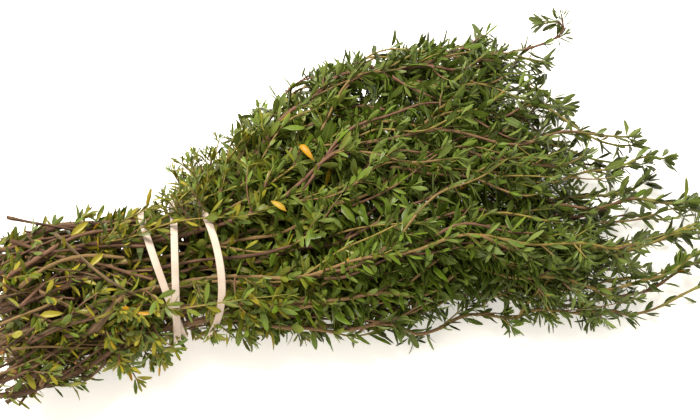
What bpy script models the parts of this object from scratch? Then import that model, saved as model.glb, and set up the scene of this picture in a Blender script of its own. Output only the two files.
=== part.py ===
"""A bundle of cut thyme lying on a surface, tied with one rubber band wound three times.

Units are metres and +Z is up. +X runs along the bundle from the cut ends to the leafy tips, and the
origin is at the middle of the footprint, on the surface that the bundle lies on.

Every sprig is a woody stem and a leafy shoot. A sprig keeps one place (u, v) in a unit disc, and the
bundle's section at each x is a smooth stretching of that disc, so no two sprigs ever meet.
"""

import math
import random
from dataclasses import dataclass

import bmesh
import bpy
from mathutils import Matrix, Vector

# Whole bundle
SEED = 11
SPRIG_COUNT = 26
TWIG_COUNT = 3
BAND_X = -0.0915
CUT_X = -0.180
TIP_X = 0.164
CUT_STAGGER = 0.014
TIP_STAGGER = 0.030
SIDE_SHORTENING = 0.020
FAR_SHORTENING = 0.060
FAR_SHORTENING_POWER = 0.9

# Half widths and half heights of the bundle, measured to the stems' centrelines
BAND_HALF_WIDTH = 0.0280
BAND_HALF_HEIGHT = 0.0205
CUT_SPREAD = 0.0110
CUT_HALF_HEIGHT = 0.0245
CUT_SPREAD_LENGTH = 0.050
CUT_BEND = 0.0060
FAR_FAN_SPREAD = 0.084
FAR_FAN_SPREAD_LENGTH = 0.046
NEAR_FAN_SPREAD = 0.036
NEAR_FAN_SPREAD_LENGTH = 0.090
FAN_HALF_HEIGHT = 0.0310
FAR_FLATTENING = 0.35
NEAR_FLATTENING = 0.90
TIP_HALF_HEIGHT = 0.0080
DROOP_START_X = 0.020
DROOP_END_X = 0.170
WAIST_SOFTNESS = 0.024

# Height of the lowest centrelines above the surface
CUT_CLEARANCE = 0.0026
BAND_CLEARANCE = 0.0045
FAN_CLEARANCE = 0.0050

# Slow waviness of the sprigs
WAVE_HEIGHT = 0.0022
WAVE_LENGTH = 0.130
WAVE_TURN = 2.0
RISE_WAVE_PHASE = 1.5

# Woody stems
STEM_RADIUS_CUT = 0.00150
STEM_RADIUS_TOP = 0.00105
STEM_POINTS = 11
JOINT_GAP = 0.0004
JOINT_FIRST_X = -0.050
JOINT_LAST_X = -0.005

# Bare twigs end a little past the band
TWIG_FIRST_END_X = -0.050
TWIG_LAST_END_X = -0.030
TWIG_THINNESS = 0.75

# Leafy shoots
SHOOT_RADIUS_BASE = 0.00085
SHOOT_RADIUS_TIP = 0.00050
PAIR_SPACING = 0.0175
SPACING_VARIATION = 0.10
QUARTER_TURN_VARIATION = 0.20
FIRST_PAIR_OFFSET = 0.008
TUFT_OFFSET = 0.0015
LEAF_LENGTH = 0.0100
LEAF_SHORTEST = 0.0045
LEAF_WIDTH = 0.0032
LEAF_THICKNESS = 0.0012
LEAF_SHORTENING = 0.0005
LEAF_FORWARD_ANGLE = math.radians(42)
TUFT_FORWARD_ANGLE = math.radians(24)
LEAF_ROOT_INSET = 0.35
LEAF_WIDEST_AT = 0.6
LEAF_SIDES = 4
LEAF_RINGS = 3
CELL_MARGIN = 0.0022
FLOOR_MARGIN = 0.0007

# Rubber band
BAND_TURNS = 3
BAND_STEPS_PER_TURN = 28
BAND_WIDTH = 0.0032
BAND_THICKNESS = 0.0010
BAND_SHIFT = -0.00115
BAND_SWAY = 0.0098
BAND_SWAY_START = math.radians(53)
BAND_QUICK_SWAY = 0.0030
BAND_QUICK_SWAY_START = math.radians(65)
BAND_QUICK_SWAY_COUNTS = (2, 3, 4)
BAND_LIFT = 0.00085
BAND_CLEAR_OF_STEMS = 0.0036

WELD_DISTANCE = 1e-6
DIRECTION_STEP = 0.001
COLLECTION_NAME = "thyme_bundle"
CUTTER_COLLECTION_NAME = "thyme_bundle_cutters"
GOLDEN_ANGLE = math.pi * (3.0 - math.sqrt(5.0))


@dataclass(frozen=True)
class Place:
    """Where one sprig or twig runs: its spot in the unit disc and its ends along x."""

    u: float
    v: float
    start_x: float
    joint_x: float
    end_x: float


def clear_scene():
    """Remove every object, so that the model starts from nothing."""
    for obj in list(bpy.data.objects):
        bpy.data.objects.remove(obj, do_unlink=True)


def new_collection(name):
    """Make a collection and link it to the scene."""
    collection = bpy.data.collections.new(name)
    bpy.context.scene.collection.children.link(collection)
    return collection


def new_material(name, colour, roughness):
    """Make a plain dielectric Principled material."""
    material = bpy.data.materials.new(name)
    material.use_nodes = True
    shader = material.node_tree.nodes["Principled BSDF"]
    shader.inputs["Base Color"].default_value = (*colour, 1.0)
    shader.inputs["Roughness"].default_value = roughness
    shader.inputs["Metallic"].default_value = 0.0
    material.diffuse_color = (*colour, 1.0)
    return material


def smoothstep(low, high, value):
    """Rise smoothly from 0 at low to 1 at high. low may be the larger of the two."""
    t = min(1.0, max(0.0, (value - low) / (high - low)))
    return t * t * (3.0 - 2.0 * t)


def past_waist(x):
    """Distance from the band along x, eased so that the waist is round and not a kink."""
    return math.hypot(x - BAND_X, WAIST_SOFTNESS) - WAIST_SOFTNESS


def half_width(x, u):
    """Half width of the bundle at x. It goes smoothly from the near side, u = -1, to the far, u = 1."""
    distance = past_waist(x)
    if x < BAND_X:
        return BAND_HALF_WIDTH + CUT_SPREAD * (1.0 - math.exp(-distance / CUT_SPREAD_LENGTH))
    far = FAR_FAN_SPREAD * (1.0 - math.exp(-distance / FAR_FAN_SPREAD_LENGTH))
    near = NEAR_FAN_SPREAD * (1.0 - math.exp(-distance / NEAR_FAN_SPREAD_LENGTH))
    side = 0.5 + 0.5 * u
    return BAND_HALF_WIDTH + side * far + (1.0 - side) * near


def half_height(x):
    """Half height of the bundle at x: it is least at the band and thins out again to the tips."""
    if x < BAND_X:
        rise = smoothstep(BAND_X, CUT_X, x)
        return BAND_HALF_HEIGHT + (CUT_HALF_HEIGHT - BAND_HALF_HEIGHT) * rise
    swell = smoothstep(BAND_X, DROOP_START_X, x)
    droop = smoothstep(DROOP_START_X, DROOP_END_X, x)
    full = BAND_HALF_HEIGHT + (FAN_HALF_HEIGHT - BAND_HALF_HEIGHT) * swell
    return full + (TIP_HALF_HEIGHT - full) * droop


def clearance(x):
    """Height of the bundle's lowest centrelines at x."""
    if x < BAND_X:
        return BAND_CLEARANCE + (CUT_CLEARANCE - BAND_CLEARANCE) * smoothstep(BAND_X, CUT_X, x)
    return BAND_CLEARANCE + (FAN_CLEARANCE - BAND_CLEARANCE) * smoothstep(BAND_X, DROOP_START_X, x)


def wave(x, phase):
    """A slow sideways wave that fades out at the band."""
    fade = 1.0 - math.exp(-((x - BAND_X) / WAIST_SOFTNESS) ** 2)
    return WAVE_HEIGHT * fade * math.sin(2.0 * math.pi * x / WAVE_LENGTH + phase)


def centre_point(place, x):
    """Centreline of a sprig at x.

    The disc point (u, v) is stretched to the section's half width and half height. Past the band the
    section's underside flattens, as the fan of sprigs settles on the surface, more on the near side
    than on the far one. Behind the band the cut ends bend to the near side.
    """
    side = 0.5 + 0.5 * place.u
    flattening = FAR_FLATTENING * side + NEAR_FLATTENING * (1.0 - side)
    flat = flattening * smoothstep(BAND_X, DROOP_START_X, x)
    side_drop = 1.0 - math.sqrt(max(0.0, 1.0 - place.u * place.u))
    y = half_width(x, place.u) * place.u + wave(x, WAVE_TURN * place.v)
    y -= CUT_BEND * smoothstep(BAND_X, CUT_X, x)
    z = clearance(x) + half_height(x) * (place.v + 1.0 - flat * side_drop)
    z += 0.5 * (1.0 + place.v) * wave(x, WAVE_TURN * place.u + RISE_WAVE_PHASE)
    return Vector((x, y, z))


def direction_at(place, x):
    """Unit direction of a sprig's centreline at x."""
    ahead = centre_point(place, x + DIRECTION_STEP)
    behind = centre_point(place, x - DIRECTION_STEP)
    return (ahead - behind).normalized()


def disc_places():
    """Spread all sprigs and twigs evenly over the unit disc, on a sunflower spiral.

    The spiral is turned so that its last spot, the outermost, is at the near side.
    """
    total = SPRIG_COUNT + TWIG_COUNT
    start_angle = math.pi - (total - 1) * GOLDEN_ANGLE
    spots = []
    for index in range(total):
        radius = math.sqrt(index / (total - 1))
        angle = start_angle + index * GOLDEN_ANGLE
        spots.append((radius * math.cos(angle), radius * math.sin(angle)))
    return spots


def plan_places(rng):
    """Choose the ends of every sprig and twig.

    The bare twigs are spread through the bundle from low to high, the last one near its top. Sprigs
    at the sides of the fan end sooner than those in its middle, and near ones reach further than far
    ones.
    """
    spots = sorted(disc_places(), key=lambda spot: spot[1])
    twig_step = len(spots) // TWIG_COUNT
    twig_spots = spots[twig_step - 1 :: twig_step]
    sprigs = []
    for u, v in (spot for spot in spots if spot not in twig_spots):
        shortening = FAR_SHORTENING * max(0.0, u) ** FAR_SHORTENING_POWER + SIDE_SHORTENING * abs(u)
        end = TIP_X - shortening - rng.uniform(0.0, TIP_STAGGER)
        start = CUT_X + rng.uniform(0.0, CUT_STAGGER)
        sprigs.append(Place(u, v, start, rng.uniform(JOINT_FIRST_X, JOINT_LAST_X), end))
    twigs = []
    for u, v in twig_spots:
        end = rng.uniform(TWIG_FIRST_END_X, TWIG_LAST_END_X)
        twigs.append(Place(u, v, CUT_X + rng.uniform(0.0, CUT_STAGGER), end, end))
    return sprigs, twigs


def even_steps(first_x, last_x, count):
    """Return count evenly spaced values from first_x to last_x."""
    return [first_x + (last_x - first_x) * index / (count - 1) for index in range(count)]


def tube_curve(name, place, stations, radii):
    """Make a tapering four-sided stem as a poly curve with a point at each x in stations.

    The object sits at the stem's first point, and the curve's points are relative to it.
    """
    curve = bpy.data.curves.new(name, "CURVE")
    curve.dimensions = "3D"
    curve.bevel_depth = 1.0
    curve.bevel_resolution = 0
    curve.use_fill_caps = True
    curve.resolution_u = 1
    curve.render_resolution_u = 1
    spline = curve.splines.new("POLY")
    spline.points.add(len(stations) - 1)
    origin = centre_point(place, stations[0])
    for x, point in zip(stations, spline.points):
        t = (x - stations[0]) / (stations[-1] - stations[0])
        offset = centre_point(place, x) - origin
        point.co = (*offset, 1.0)
        point.radius = radii[0] + (radii[1] - radii[0]) * t
    obj = bpy.data.objects.new(name, curve)
    obj.location = origin
    return obj


def curve_to_mesh_object(curve_object, collection):
    """Replace a curve object by a closed mesh object with welded caps, in the same place."""
    bpy.context.scene.collection.objects.link(curve_object)
    bpy.context.view_layer.update()
    depsgraph = bpy.context.evaluated_depsgraph_get()
    mesh = bpy.data.meshes.new_from_object(curve_object.evaluated_get(depsgraph))
    bm = bmesh.new()
    bm.from_mesh(mesh)
    bmesh.ops.remove_doubles(bm, verts=bm.verts, dist=WELD_DISTANCE)
    bmesh.ops.recalc_face_normals(bm, faces=bm.faces)
    bm.to_mesh(mesh)
    bm.free()
    name = curve_object.name
    matrix = curve_object.matrix_world.copy()
    bpy.data.objects.remove(curve_object, do_unlink=True)
    obj = bpy.data.objects.new(name, mesh)
    obj.matrix_world = matrix
    collection.objects.link(obj)
    return obj


def stays_in_cell(point, own, others):
    """Tell whether a point is nearer to its own sprig than to any other, by the cell margin."""
    own_centre = centre_point(own, point.x)
    own_distance = math.hypot(point.y - own_centre.y, point.z - own_centre.z)
    for other in others:
        if not other.start_x - LEAF_LENGTH < point.x < other.end_x + LEAF_LENGTH:
            continue
        centre = centre_point(other, point.x)
        if math.hypot(point.y - centre.y, point.z - centre.z) < own_distance + CELL_MARGIN:
            return False
    return True


def leaf_matrix(root, direction, across, length):
    """Matrix that turns a unit sphere into a flat leaf from root along direction."""
    normal = direction.cross(across).normalized()
    turn = Matrix((across, normal, direction)).transposed().to_4x4()
    size = Matrix.Diagonal((LEAF_WIDTH / 2, LEAF_THICKNESS / 2, length / 2, 1.0))
    return Matrix.Translation(root + direction * (length / 2)) @ turn @ size


def leaf_in_cell(centre, axis, side, forward_angle, own, others):
    """Fit one leaf in its sprig's own space, or return None where there is no room.

    The leaf points forward and to the side. It lies along the surface where it would pass through it,
    and it is shortened until its tip is inside the sprig's cell.
    """
    length = LEAF_LENGTH
    while length >= LEAF_SHORTEST:
        direction = (axis * math.cos(forward_angle) + side * math.sin(forward_angle)).normalized()
        lowest = FLOOR_MARGIN - centre.z
        if direction.z * length < lowest:
            direction.z = lowest / length
            direction.normalize()
        across = axis.cross(side)
        across = (across - direction * across.dot(direction)).normalized()
        root = centre + direction * (SHOOT_RADIUS_TIP * LEAF_ROOT_INSET)
        tip = root + direction * length
        widest = root + direction * (LEAF_WIDEST_AT * length)
        edges = (widest + across * (LEAF_WIDTH / 2), widest - across * (LEAF_WIDTH / 2))
        if all(stays_in_cell(point, own, others) for point in (tip, *edges)):
            return leaf_matrix(root, direction, across, length)
        length -= LEAF_SHORTENING
    return None


def leaf_stations(first_x, end_x, rng):
    """Choose where along x the leaf pairs of a shoot grow, the last pair just short of its end."""
    stations = []
    x = first_x + FIRST_PAIR_OFFSET
    while x < end_x - 0.5 * PAIR_SPACING:
        stations.append(x)
        x += PAIR_SPACING * rng.uniform(1.0 - SPACING_VARIATION, 1.0 + SPACING_VARIATION)
    stations.append(end_x - TUFT_OFFSET)
    return stations


def shoot_leaves(place, others, stations, rng):
    """Work out the leaves of one shoot: opposite pairs, each turned a quarter from the last."""
    matrices = []
    turn = rng.uniform(0.0, math.pi)
    for x in stations:
        forward_angle = TUFT_FORWARD_ANGLE if x == stations[-1] else LEAF_FORWARD_ANGLE
        centre = centre_point(place, x)
        axis = direction_at(place, x)
        level = axis.cross(Vector((0.0, 0.0, 1.0))).normalized()
        side = Matrix.Rotation(turn, 3, axis) @ level
        for sign in (1.0, -1.0):
            matrix = leaf_in_cell(centre, axis, side * sign, forward_angle, place, others)
            if matrix is not None:
                matrices.append(matrix)
        turn += math.pi / 2 + rng.uniform(-QUARTER_TURN_VARIATION, QUARTER_TURN_VARIATION)
    return matrices


def leaves_object(name, matrices, origin, cutters):
    """Make one guide mesh that holds every leaf of a shoot."""
    bm = bmesh.new()
    for matrix in matrices:
        bmesh.ops.create_uvsphere(
            bm, u_segments=LEAF_SIDES, v_segments=LEAF_RINGS, radius=1.0, matrix=matrix
        )
    bmesh.ops.translate(bm, verts=bm.verts, vec=-origin)
    bmesh.ops.recalc_face_normals(bm, faces=bm.faces)
    mesh = bpy.data.meshes.new(name)
    bm.to_mesh(mesh)
    bm.free()
    obj = bpy.data.objects.new(name, mesh)
    obj.location = origin
    obj.hide_render = True
    obj.display_type = "WIRE"
    cutters.objects.link(obj)
    return obj


def add_sprig(number, place, others, collections, materials, rng):
    """Build one sprig: its woody stem, and its shoot with the leaves united to the axis."""
    parts, cutters = collections
    bark, green = materials
    stem_name = f"sprig_{number:02d}_stem"
    shoot_name = f"sprig_{number:02d}_shoot"
    stem_steps = even_steps(place.start_x, place.joint_x, STEM_POINTS)
    stem = tube_curve(stem_name, place, stem_steps, (STEM_RADIUS_CUT, STEM_RADIUS_TOP))
    parts.objects.link(stem)
    stem.data.materials.append(bark)
    shoot_x = place.joint_x + JOINT_GAP
    stations = leaf_stations(shoot_x, place.end_x, rng)
    axis_steps = [shoot_x, *stations, place.end_x]
    axis_curve = tube_curve(shoot_name, place, axis_steps, (SHOOT_RADIUS_BASE, SHOOT_RADIUS_TIP))
    shoot = curve_to_mesh_object(axis_curve, parts)
    shoot.data.materials.append(green)
    matrices = shoot_leaves(place, others, stations, rng)
    leaves = leaves_object(f"{shoot_name}_leaves", matrices, shoot.location.copy(), cutters)
    union = shoot.modifiers.new("Leaves", "BOOLEAN")
    union.operation = "UNION"
    union.solver = "EXACT"
    union.object = leaves
    return [stem, shoot, leaves]


def add_bare_twig(number, place, parts, bark):
    """Build one leafless twig."""
    name = f"bare_twig_{number}"
    radii = (TWIG_THINNESS * STEM_RADIUS_CUT, TWIG_THINNESS * STEM_RADIUS_TOP)
    twig = tube_curve(name, place, even_steps(place.start_x, place.end_x, STEM_POINTS), radii)
    parts.objects.link(twig)
    twig.data.materials.append(bark)
    return twig


def band_point(loop_share, edge):
    """Point on the rubber band's middle surface.

    loop_share goes from 0 to 1 along the whole loop and edge from -0.5 to 0.5 across its width. Along
    the loop the band sways to and fro in x, and rises and sinks a little, once in its three turns
    together. So it closes on itself, and it passes over itself on two opposite sides. Smaller and
    quicker sways on top of it bend the strands, and the whole band lies on the bundle's skin.
    """
    turn = 2.0 * math.pi * BAND_TURNS * loop_share
    phase = turn / BAND_TURNS - BAND_SWAY_START
    quick = sum(math.cos(count * phase + BAND_QUICK_SWAY_START) for count in BAND_QUICK_SWAY_COUNTS)
    outward = BAND_CLEAR_OF_STEMS + BAND_LIFT * math.sin(phase)
    x = BAND_X + BAND_SHIFT + BAND_SWAY * math.cos(phase) + BAND_QUICK_SWAY * quick + BAND_WIDTH * edge
    skin = Place(math.cos(turn), math.sin(turn), CUT_X, TIP_X, TIP_X)
    return centre_point(skin, x) + outward * Vector((0.0, math.cos(turn), math.sin(turn)))


def add_rubber_band(parts, rubber):
    """Build the rubber band as one closed strip that winds three times round the stems."""
    origin = Vector((BAND_X, 0.0, BAND_CLEARANCE + BAND_HALF_HEIGHT))
    bm = bmesh.new()
    steps = BAND_TURNS * BAND_STEPS_PER_TURN
    bmesh.ops.create_grid(bm, x_segments=steps, y_segments=1, size=0.5)
    for vertex in bm.verts:
        vertex.co = band_point(vertex.co.x + 0.5, vertex.co.y) - origin
    bmesh.ops.remove_doubles(bm, verts=bm.verts, dist=WELD_DISTANCE)
    bmesh.ops.recalc_face_normals(bm, faces=bm.faces)
    mesh = bpy.data.meshes.new("rubber_band")
    bm.to_mesh(mesh)
    bm.free()
    mesh.shade_smooth()
    band = bpy.data.objects.new("rubber_band", mesh)
    band.location = origin
    band.data.materials.append(rubber)
    wall = band.modifiers.new("Thickness", "SOLIDIFY")
    wall.thickness = BAND_THICKNESS
    wall.offset = 0.0
    parts.objects.link(band)
    return band


def stand_on_origin(objects, root):
    """Move everything so that the footprint is centred on the origin and the lowest point is at z = 0."""
    bpy.context.view_layer.update()
    depsgraph = bpy.context.evaluated_depsgraph_get()
    corners = []
    for obj in objects:
        evaluated = obj.evaluated_get(depsgraph)
        mesh = evaluated.to_mesh()
        corners.extend(obj.matrix_world @ vertex.co for vertex in mesh.vertices)
        evaluated.to_mesh_clear()
    low = Vector(min(corner[axis] for corner in corners) for axis in range(3))
    high = Vector(max(corner[axis] for corner in corners) for axis in range(3))
    root.location = (-(low.x + high.x) / 2, -(low.y + high.y) / 2, -low.z)


def main():
    """Build the whole bundle."""
    clear_scene()
    rng = random.Random(SEED)
    parts = new_collection(COLLECTION_NAME)
    cutters = new_collection(CUTTER_COLLECTION_NAME)
    bark = new_material("thyme_wood", (0.27, 0.15, 0.09), 0.75)
    green = new_material("thyme_leaf", (0.12, 0.19, 0.04), 0.55)
    rubber = new_material("band_rubber", (0.74, 0.60, 0.51), 0.60)
    root = bpy.data.objects.new("thyme_bundle_root", None)
    parts.objects.link(root)

    sprigs, twigs = plan_places(rng)
    visible = []
    guides = []
    for number, place in enumerate(sprigs, start=1):
        others = [other for other in sprigs + twigs if other is not place]
        stem, shoot, leaves = add_sprig(
            number, place, others, (parts, cutters), (bark, green), rng
        )
        visible.extend((stem, shoot))
        guides.append(leaves)
    for number, place in enumerate(twigs, start=1):
        visible.append(add_bare_twig(number, place, parts, bark))
    visible.append(add_rubber_band(parts, rubber))
    for obj in visible + guides:
        obj.parent = root
    stand_on_origin(visible, root)


main()
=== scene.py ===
"""Looks of a bundle of fresh thyme, held by a rubber band and lying on its side.

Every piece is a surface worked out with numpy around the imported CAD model. All sizes are in metres,
+Z is up, the cut ends are at -X and the leafy tips at +X.
"""

import logging
import math
from dataclasses import dataclass, field
from enum import Enum

import bpy
import numpy as np
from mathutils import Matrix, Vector


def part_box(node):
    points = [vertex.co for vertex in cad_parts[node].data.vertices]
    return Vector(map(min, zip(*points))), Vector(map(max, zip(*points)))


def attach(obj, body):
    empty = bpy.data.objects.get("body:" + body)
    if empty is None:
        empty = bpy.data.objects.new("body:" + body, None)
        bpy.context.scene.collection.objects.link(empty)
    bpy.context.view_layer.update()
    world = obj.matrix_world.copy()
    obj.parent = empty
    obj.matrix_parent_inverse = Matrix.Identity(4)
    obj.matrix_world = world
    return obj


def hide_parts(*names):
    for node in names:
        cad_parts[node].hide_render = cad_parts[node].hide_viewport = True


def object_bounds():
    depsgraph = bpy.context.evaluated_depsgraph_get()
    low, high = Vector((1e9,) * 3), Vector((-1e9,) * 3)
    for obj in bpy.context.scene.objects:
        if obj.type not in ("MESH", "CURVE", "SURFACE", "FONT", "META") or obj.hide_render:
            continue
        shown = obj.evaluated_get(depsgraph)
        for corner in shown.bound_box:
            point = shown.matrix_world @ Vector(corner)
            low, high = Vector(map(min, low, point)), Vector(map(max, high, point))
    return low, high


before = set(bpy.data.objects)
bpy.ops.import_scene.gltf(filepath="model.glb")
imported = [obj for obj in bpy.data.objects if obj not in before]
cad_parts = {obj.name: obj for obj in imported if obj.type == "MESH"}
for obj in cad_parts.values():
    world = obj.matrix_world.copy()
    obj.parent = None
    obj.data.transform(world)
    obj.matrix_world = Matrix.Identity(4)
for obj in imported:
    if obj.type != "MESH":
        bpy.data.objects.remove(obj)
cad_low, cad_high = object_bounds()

BODY = "root"
GOLDEN_ANGLE = math.pi * (3.0 - math.sqrt(5.0))
FULL_TURN = 2.0 * math.pi
MM = 0.001
UP = np.array([0.0, 0.0, 1.0])
ALONG = np.array([1.0, 0.0, 0.0])
BOTH_SIDES = np.array([0.0, math.pi])
NO_TRIANGLES = np.zeros((0, 3), dtype=int)

# Where a leaf's margin lies between its upper side, 0, and its underside, 1, and the bounds between
# which a point counts as margin.
MARGIN = 0.35
MARGIN_SIDES = (0.3, 0.6)

# The share of the CAD's half width past which centrelines are eased back, and how far they may rise
# above it.
ROOM_START = 0.83
HEAD_ROOM = 0.001

# Least heights above the table of centrelines, of bark and of leaves.
STRAND_FLOOR = 0.0008
SKIN_FLOOR = 0.0002
LEAF_FLOOR = 0.0003

Array = np.ndarray
Socket = bpy.types.NodeSocket

# A Span is a lower and an upper bound. A Pair and a Triple are any two or three values.
Span = tuple[float, float]
Pair = tuple[float, float]
Triple = tuple[float, float, float]

log = logging.getLogger("thyme_bundle")


def mm(*sizes: float) -> tuple[float, ...]:
    """Return millimetres as metres."""
    return tuple(size * MM for size in sizes)


def bell(value: Array, middle: float, width: Array | float, power: int = 2) -> Array:
    """Bell curve: exp of minus ((value - middle) / width) to the power, which is 1 at the middle."""
    return np.exp(-(((value - middle) / width) ** power))


def unit(vectors: Array) -> Array:
    """Return vectors scaled to length 1 along their last axis."""
    return vectors / np.maximum(np.linalg.norm(vectors, axis=-1, keepdims=True), 1e-12)


def squared(vectors: Array, axes: Array) -> Array:
    """Return vectors turned square to unit axes: less their share along the axis, at length 1."""
    return unit(vectors - axes * np.sum(vectors * axes, axis=-1, keepdims=True))


def linear_colour(code: str) -> tuple[float, ...]:
    """Turn a colour code into shader numbers, by the usual curve of screens.

    Args:
        code: red, green and blue as six hexadecimal digits.

    Returns:
        Linear red, green and blue, and an alpha of 1.
    """
    shares = np.array([int(code[i : i + 2], 16) / 255.0 for i in (0, 2, 4)])
    linear = np.where(shares <= 0.04045, shares / 12.92, ((shares + 0.055) / 1.055) ** 2.4)
    return (*linear.tolist(), 1.0)


@dataclass(frozen=True)
class Rise:
    """A smooth rise from 0 at low to amount at high. High may be the smaller of the two."""

    low: float
    high: float
    amount: float = 1.0

    def __call__(self, value: Array | float) -> Array:
        """Amount times t squared times (3 - 2t), where t runs from 0 at low to 1 at high."""
        t = np.clip((value - self.low) / (self.high - self.low), 0.0, 1.0)
        return self.amount * (t * t * (3.0 - 2.0 * t))


@dataclass(frozen=True)
class BundleForm:
    """The smooth body that every stem follows, along the bundle's own axes.

    A stem holds a place (u, v) on a disc: u runs from the near side, -1, to the far side, 1, and v
    from the underside to the top. At every x the disc is stretched to the bundle's section.
    spreads gives how much half width the cut ends, the far side and the near side gain, and over
    what length. half_heights and clearances hold at the cut ends, at the band and in the fan.
    """

    band_x: float = -0.0915
    cut_x: float = -0.180
    droop: Rise = Rise(0.020, 0.170)
    stem_count: int = 29
    twig_step: int = 9
    band_half_width: float = 0.0280
    spreads: tuple[Pair, Pair, Pair] = ((0.0110, 0.050), (0.084, 0.046), (0.036, 0.090))
    half_heights: Triple = (0.0245, 0.0205, 0.0310)
    tip_half_height: float = 0.0080
    clearances: Triple = (0.0026, 0.0045, 0.0050)
    far_flattening: float = 0.35
    near_flattening: float = 0.90
    cut_bend: float = 0.0060
    waist_softness: float = 0.024
    wave_height: float = 0.0022
    wave_length: float = 0.130
    wave_lag: float = 1.5

    def behind(self, x: Array) -> Array:
        """0 from the band on, and 1 at the cut ends."""
        return Rise(self.band_x, self.cut_x)(x)

    def ahead(self, x: Array) -> Array:
        """0 up to the band, and 1 where the fan starts to droop."""
        return Rise(self.band_x, self.droop.low)(x)

    def eased(self, x: Array, sizes: Triple) -> Array:
        """A size at x that eases from the cut ends' to the band's and on to the fan's."""
        cut, band, fan = sizes
        return band + (cut - band) * self.behind(x) + (fan - band) * self.ahead(x)

    def half_width(self, x: Array, u: Array | float) -> Array:
        """Half width: the band's, plus spread times (1 - exp(-distance from the band / length)).

        Args:
            x: where along the bundle.
            u: places from near to far, which share out the two sides' spreads.

        Returns:
            The half width at each x.
        """
        past = np.hypot(x - self.band_x, self.waist_softness) - self.waist_softness
        cut, far, near = (gain * (1.0 - np.exp(-past / length)) for gain, length in self.spreads)
        side = 0.5 + 0.5 * u
        return self.band_half_width + np.where(x < self.band_x, cut, side * far + (1.0 - side) * near)

    def half_height(self, x: Array) -> Array:
        """Half height at x: least at the band, most in the fan, and thin again at the tips."""
        height = self.eased(x, self.half_heights)
        return height + (self.tip_half_height - height) * self.droop(x)

    def depth(self, point: Array) -> Array:
        """How far out points lie: the root of (y / half width)² + (height above the middle / half height)².

        Args:
            point: points along the bundle's own axes.

        Returns:
            A share of the section's radius at each x.
        """
        x, y = point[..., 0], point[..., 1]
        side = np.clip(y / self.half_width(x, 0.0), -1.0, 1.0)
        v = (point[..., 2] - self.eased(x, self.clearances)) / self.half_height(x) - 1.0
        return np.hypot(y / self.half_width(x, side), v)

    def wave(self, x: Array, phase: Array) -> Array:
        """A slow sideways sine wave that fades out at the band."""
        fade = 1.0 - bell(x, self.band_x, self.waist_softness)
        return self.wave_height * fade * np.sin(FULL_TURN * x / self.wave_length + phase)

    def centre(self, u: Array, v: Array, x: Array) -> Array:
        """Point of place (u, v) at x: y is the half width times u, z the half height times v + 1.

        The clearance is added to z. The fan is flattened: v drops by 1 - sqrt(1 - u²) times the
        flattening of its side. A slow wave, and a slight bend of the cut ends, are added.

        Args:
            u: places from near to far.
            v: places from bottom to top.
            x: where along the bundle.

        Returns:
            Points along the bundle's own axes, shape (n, 3).
        """
        u, v, x = np.broadcast_arrays(u, v, x)
        side = 0.5 + 0.5 * np.clip(u, -1.0, 1.0)
        flat = (self.far_flattening * side + self.near_flattening * (1.0 - side)) * self.ahead(x)
        drop = 1.0 - np.sqrt(np.maximum(0.0, 1.0 - u * u))
        y = self.half_width(x, u) * u + self.wave(x, 2.0 * v) - self.cut_bend * self.behind(x)
        z = self.eased(x, self.clearances) + self.half_height(x) * (v + 1.0 - flat * drop)
        z = z + 0.5 * (1.0 + v) * self.wave(x, 2.0 * u + self.wave_lag)
        return np.stack([x, y, z], axis=-1)

    def places(self) -> Array:
        """Places of all stems on a sunflower spiral: radius sqrt(i / last), turned by the golden angle.

        Returns:
            One (u, v) a stem, from the lowest to the highest.
        """
        last = self.stem_count - 1
        index = np.arange(self.stem_count)
        radius, angle = np.sqrt(index / last), math.pi + (index - last) * GOLDEN_ANGLE
        spots = np.stack([radius * np.cos(angle), radius * np.sin(angle)], axis=-1)
        return spots[np.argsort(spots[:, 1])]


@dataclass(frozen=True)
class BandForm:
    """The rubber band's route: three turns round the bundle, swaying to and fro along it."""

    turns: int = 3
    width: float = 0.0032
    thickness: float = 0.0010
    shift: float = -0.00115
    sway: float = 0.0098
    sway_start: float = math.radians(53.0)
    quick_sway: float = 0.0030
    quick_sway_start: float = math.radians(65.0)
    quick_sway_counts: tuple[int, ...] = (2, 3, 4)
    lift: float = 0.00085
    clear_of_stems: float = 0.0036

    def surface(self, form: BundleForm, share: Array, edge: Array) -> Array:
        """Middle surface of the band: the section's rim at x, moved outwards.

        x is a cosine of the phase, which runs once in the three turns, plus smaller cosines of 2, 3
        and 4 times the phase.

        Args:
            form: the bundle that it hugs.
            share: how far along the whole loop, from 0 to 1.
            edge: where across its width, from -0.5 to 0.5.

        Returns:
            Points along the bundle's own axes.
        """
        turn = FULL_TURN * self.turns * share
        phase = turn / self.turns - self.sway_start
        quick = np.cos(self.quick_sway_counts * phase[..., None] + self.quick_sway_start).sum(axis=-1)
        outward = self.clear_of_stems + self.lift * np.sin(phase)
        x = form.band_x + self.shift + self.sway * np.cos(phase) + self.quick_sway * quick
        across, up = np.cos(turn), np.sin(turn)
        around = np.stack([np.zeros_like(turn), across, up], axis=-1)
        return form.centre(across, up, x + self.width * edge) + outward[..., None] * around


def set_attribute(mesh: bpy.types.Mesh, name: str, kind: str, domain: str, values: Array) -> None:
    """Give a mesh a named attribute, with one value or one vector for each of its elements."""
    data = mesh.attributes.new(name, kind, domain).data
    data.foreach_set("vector" if values.ndim > 1 else "value", values.ravel())


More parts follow.
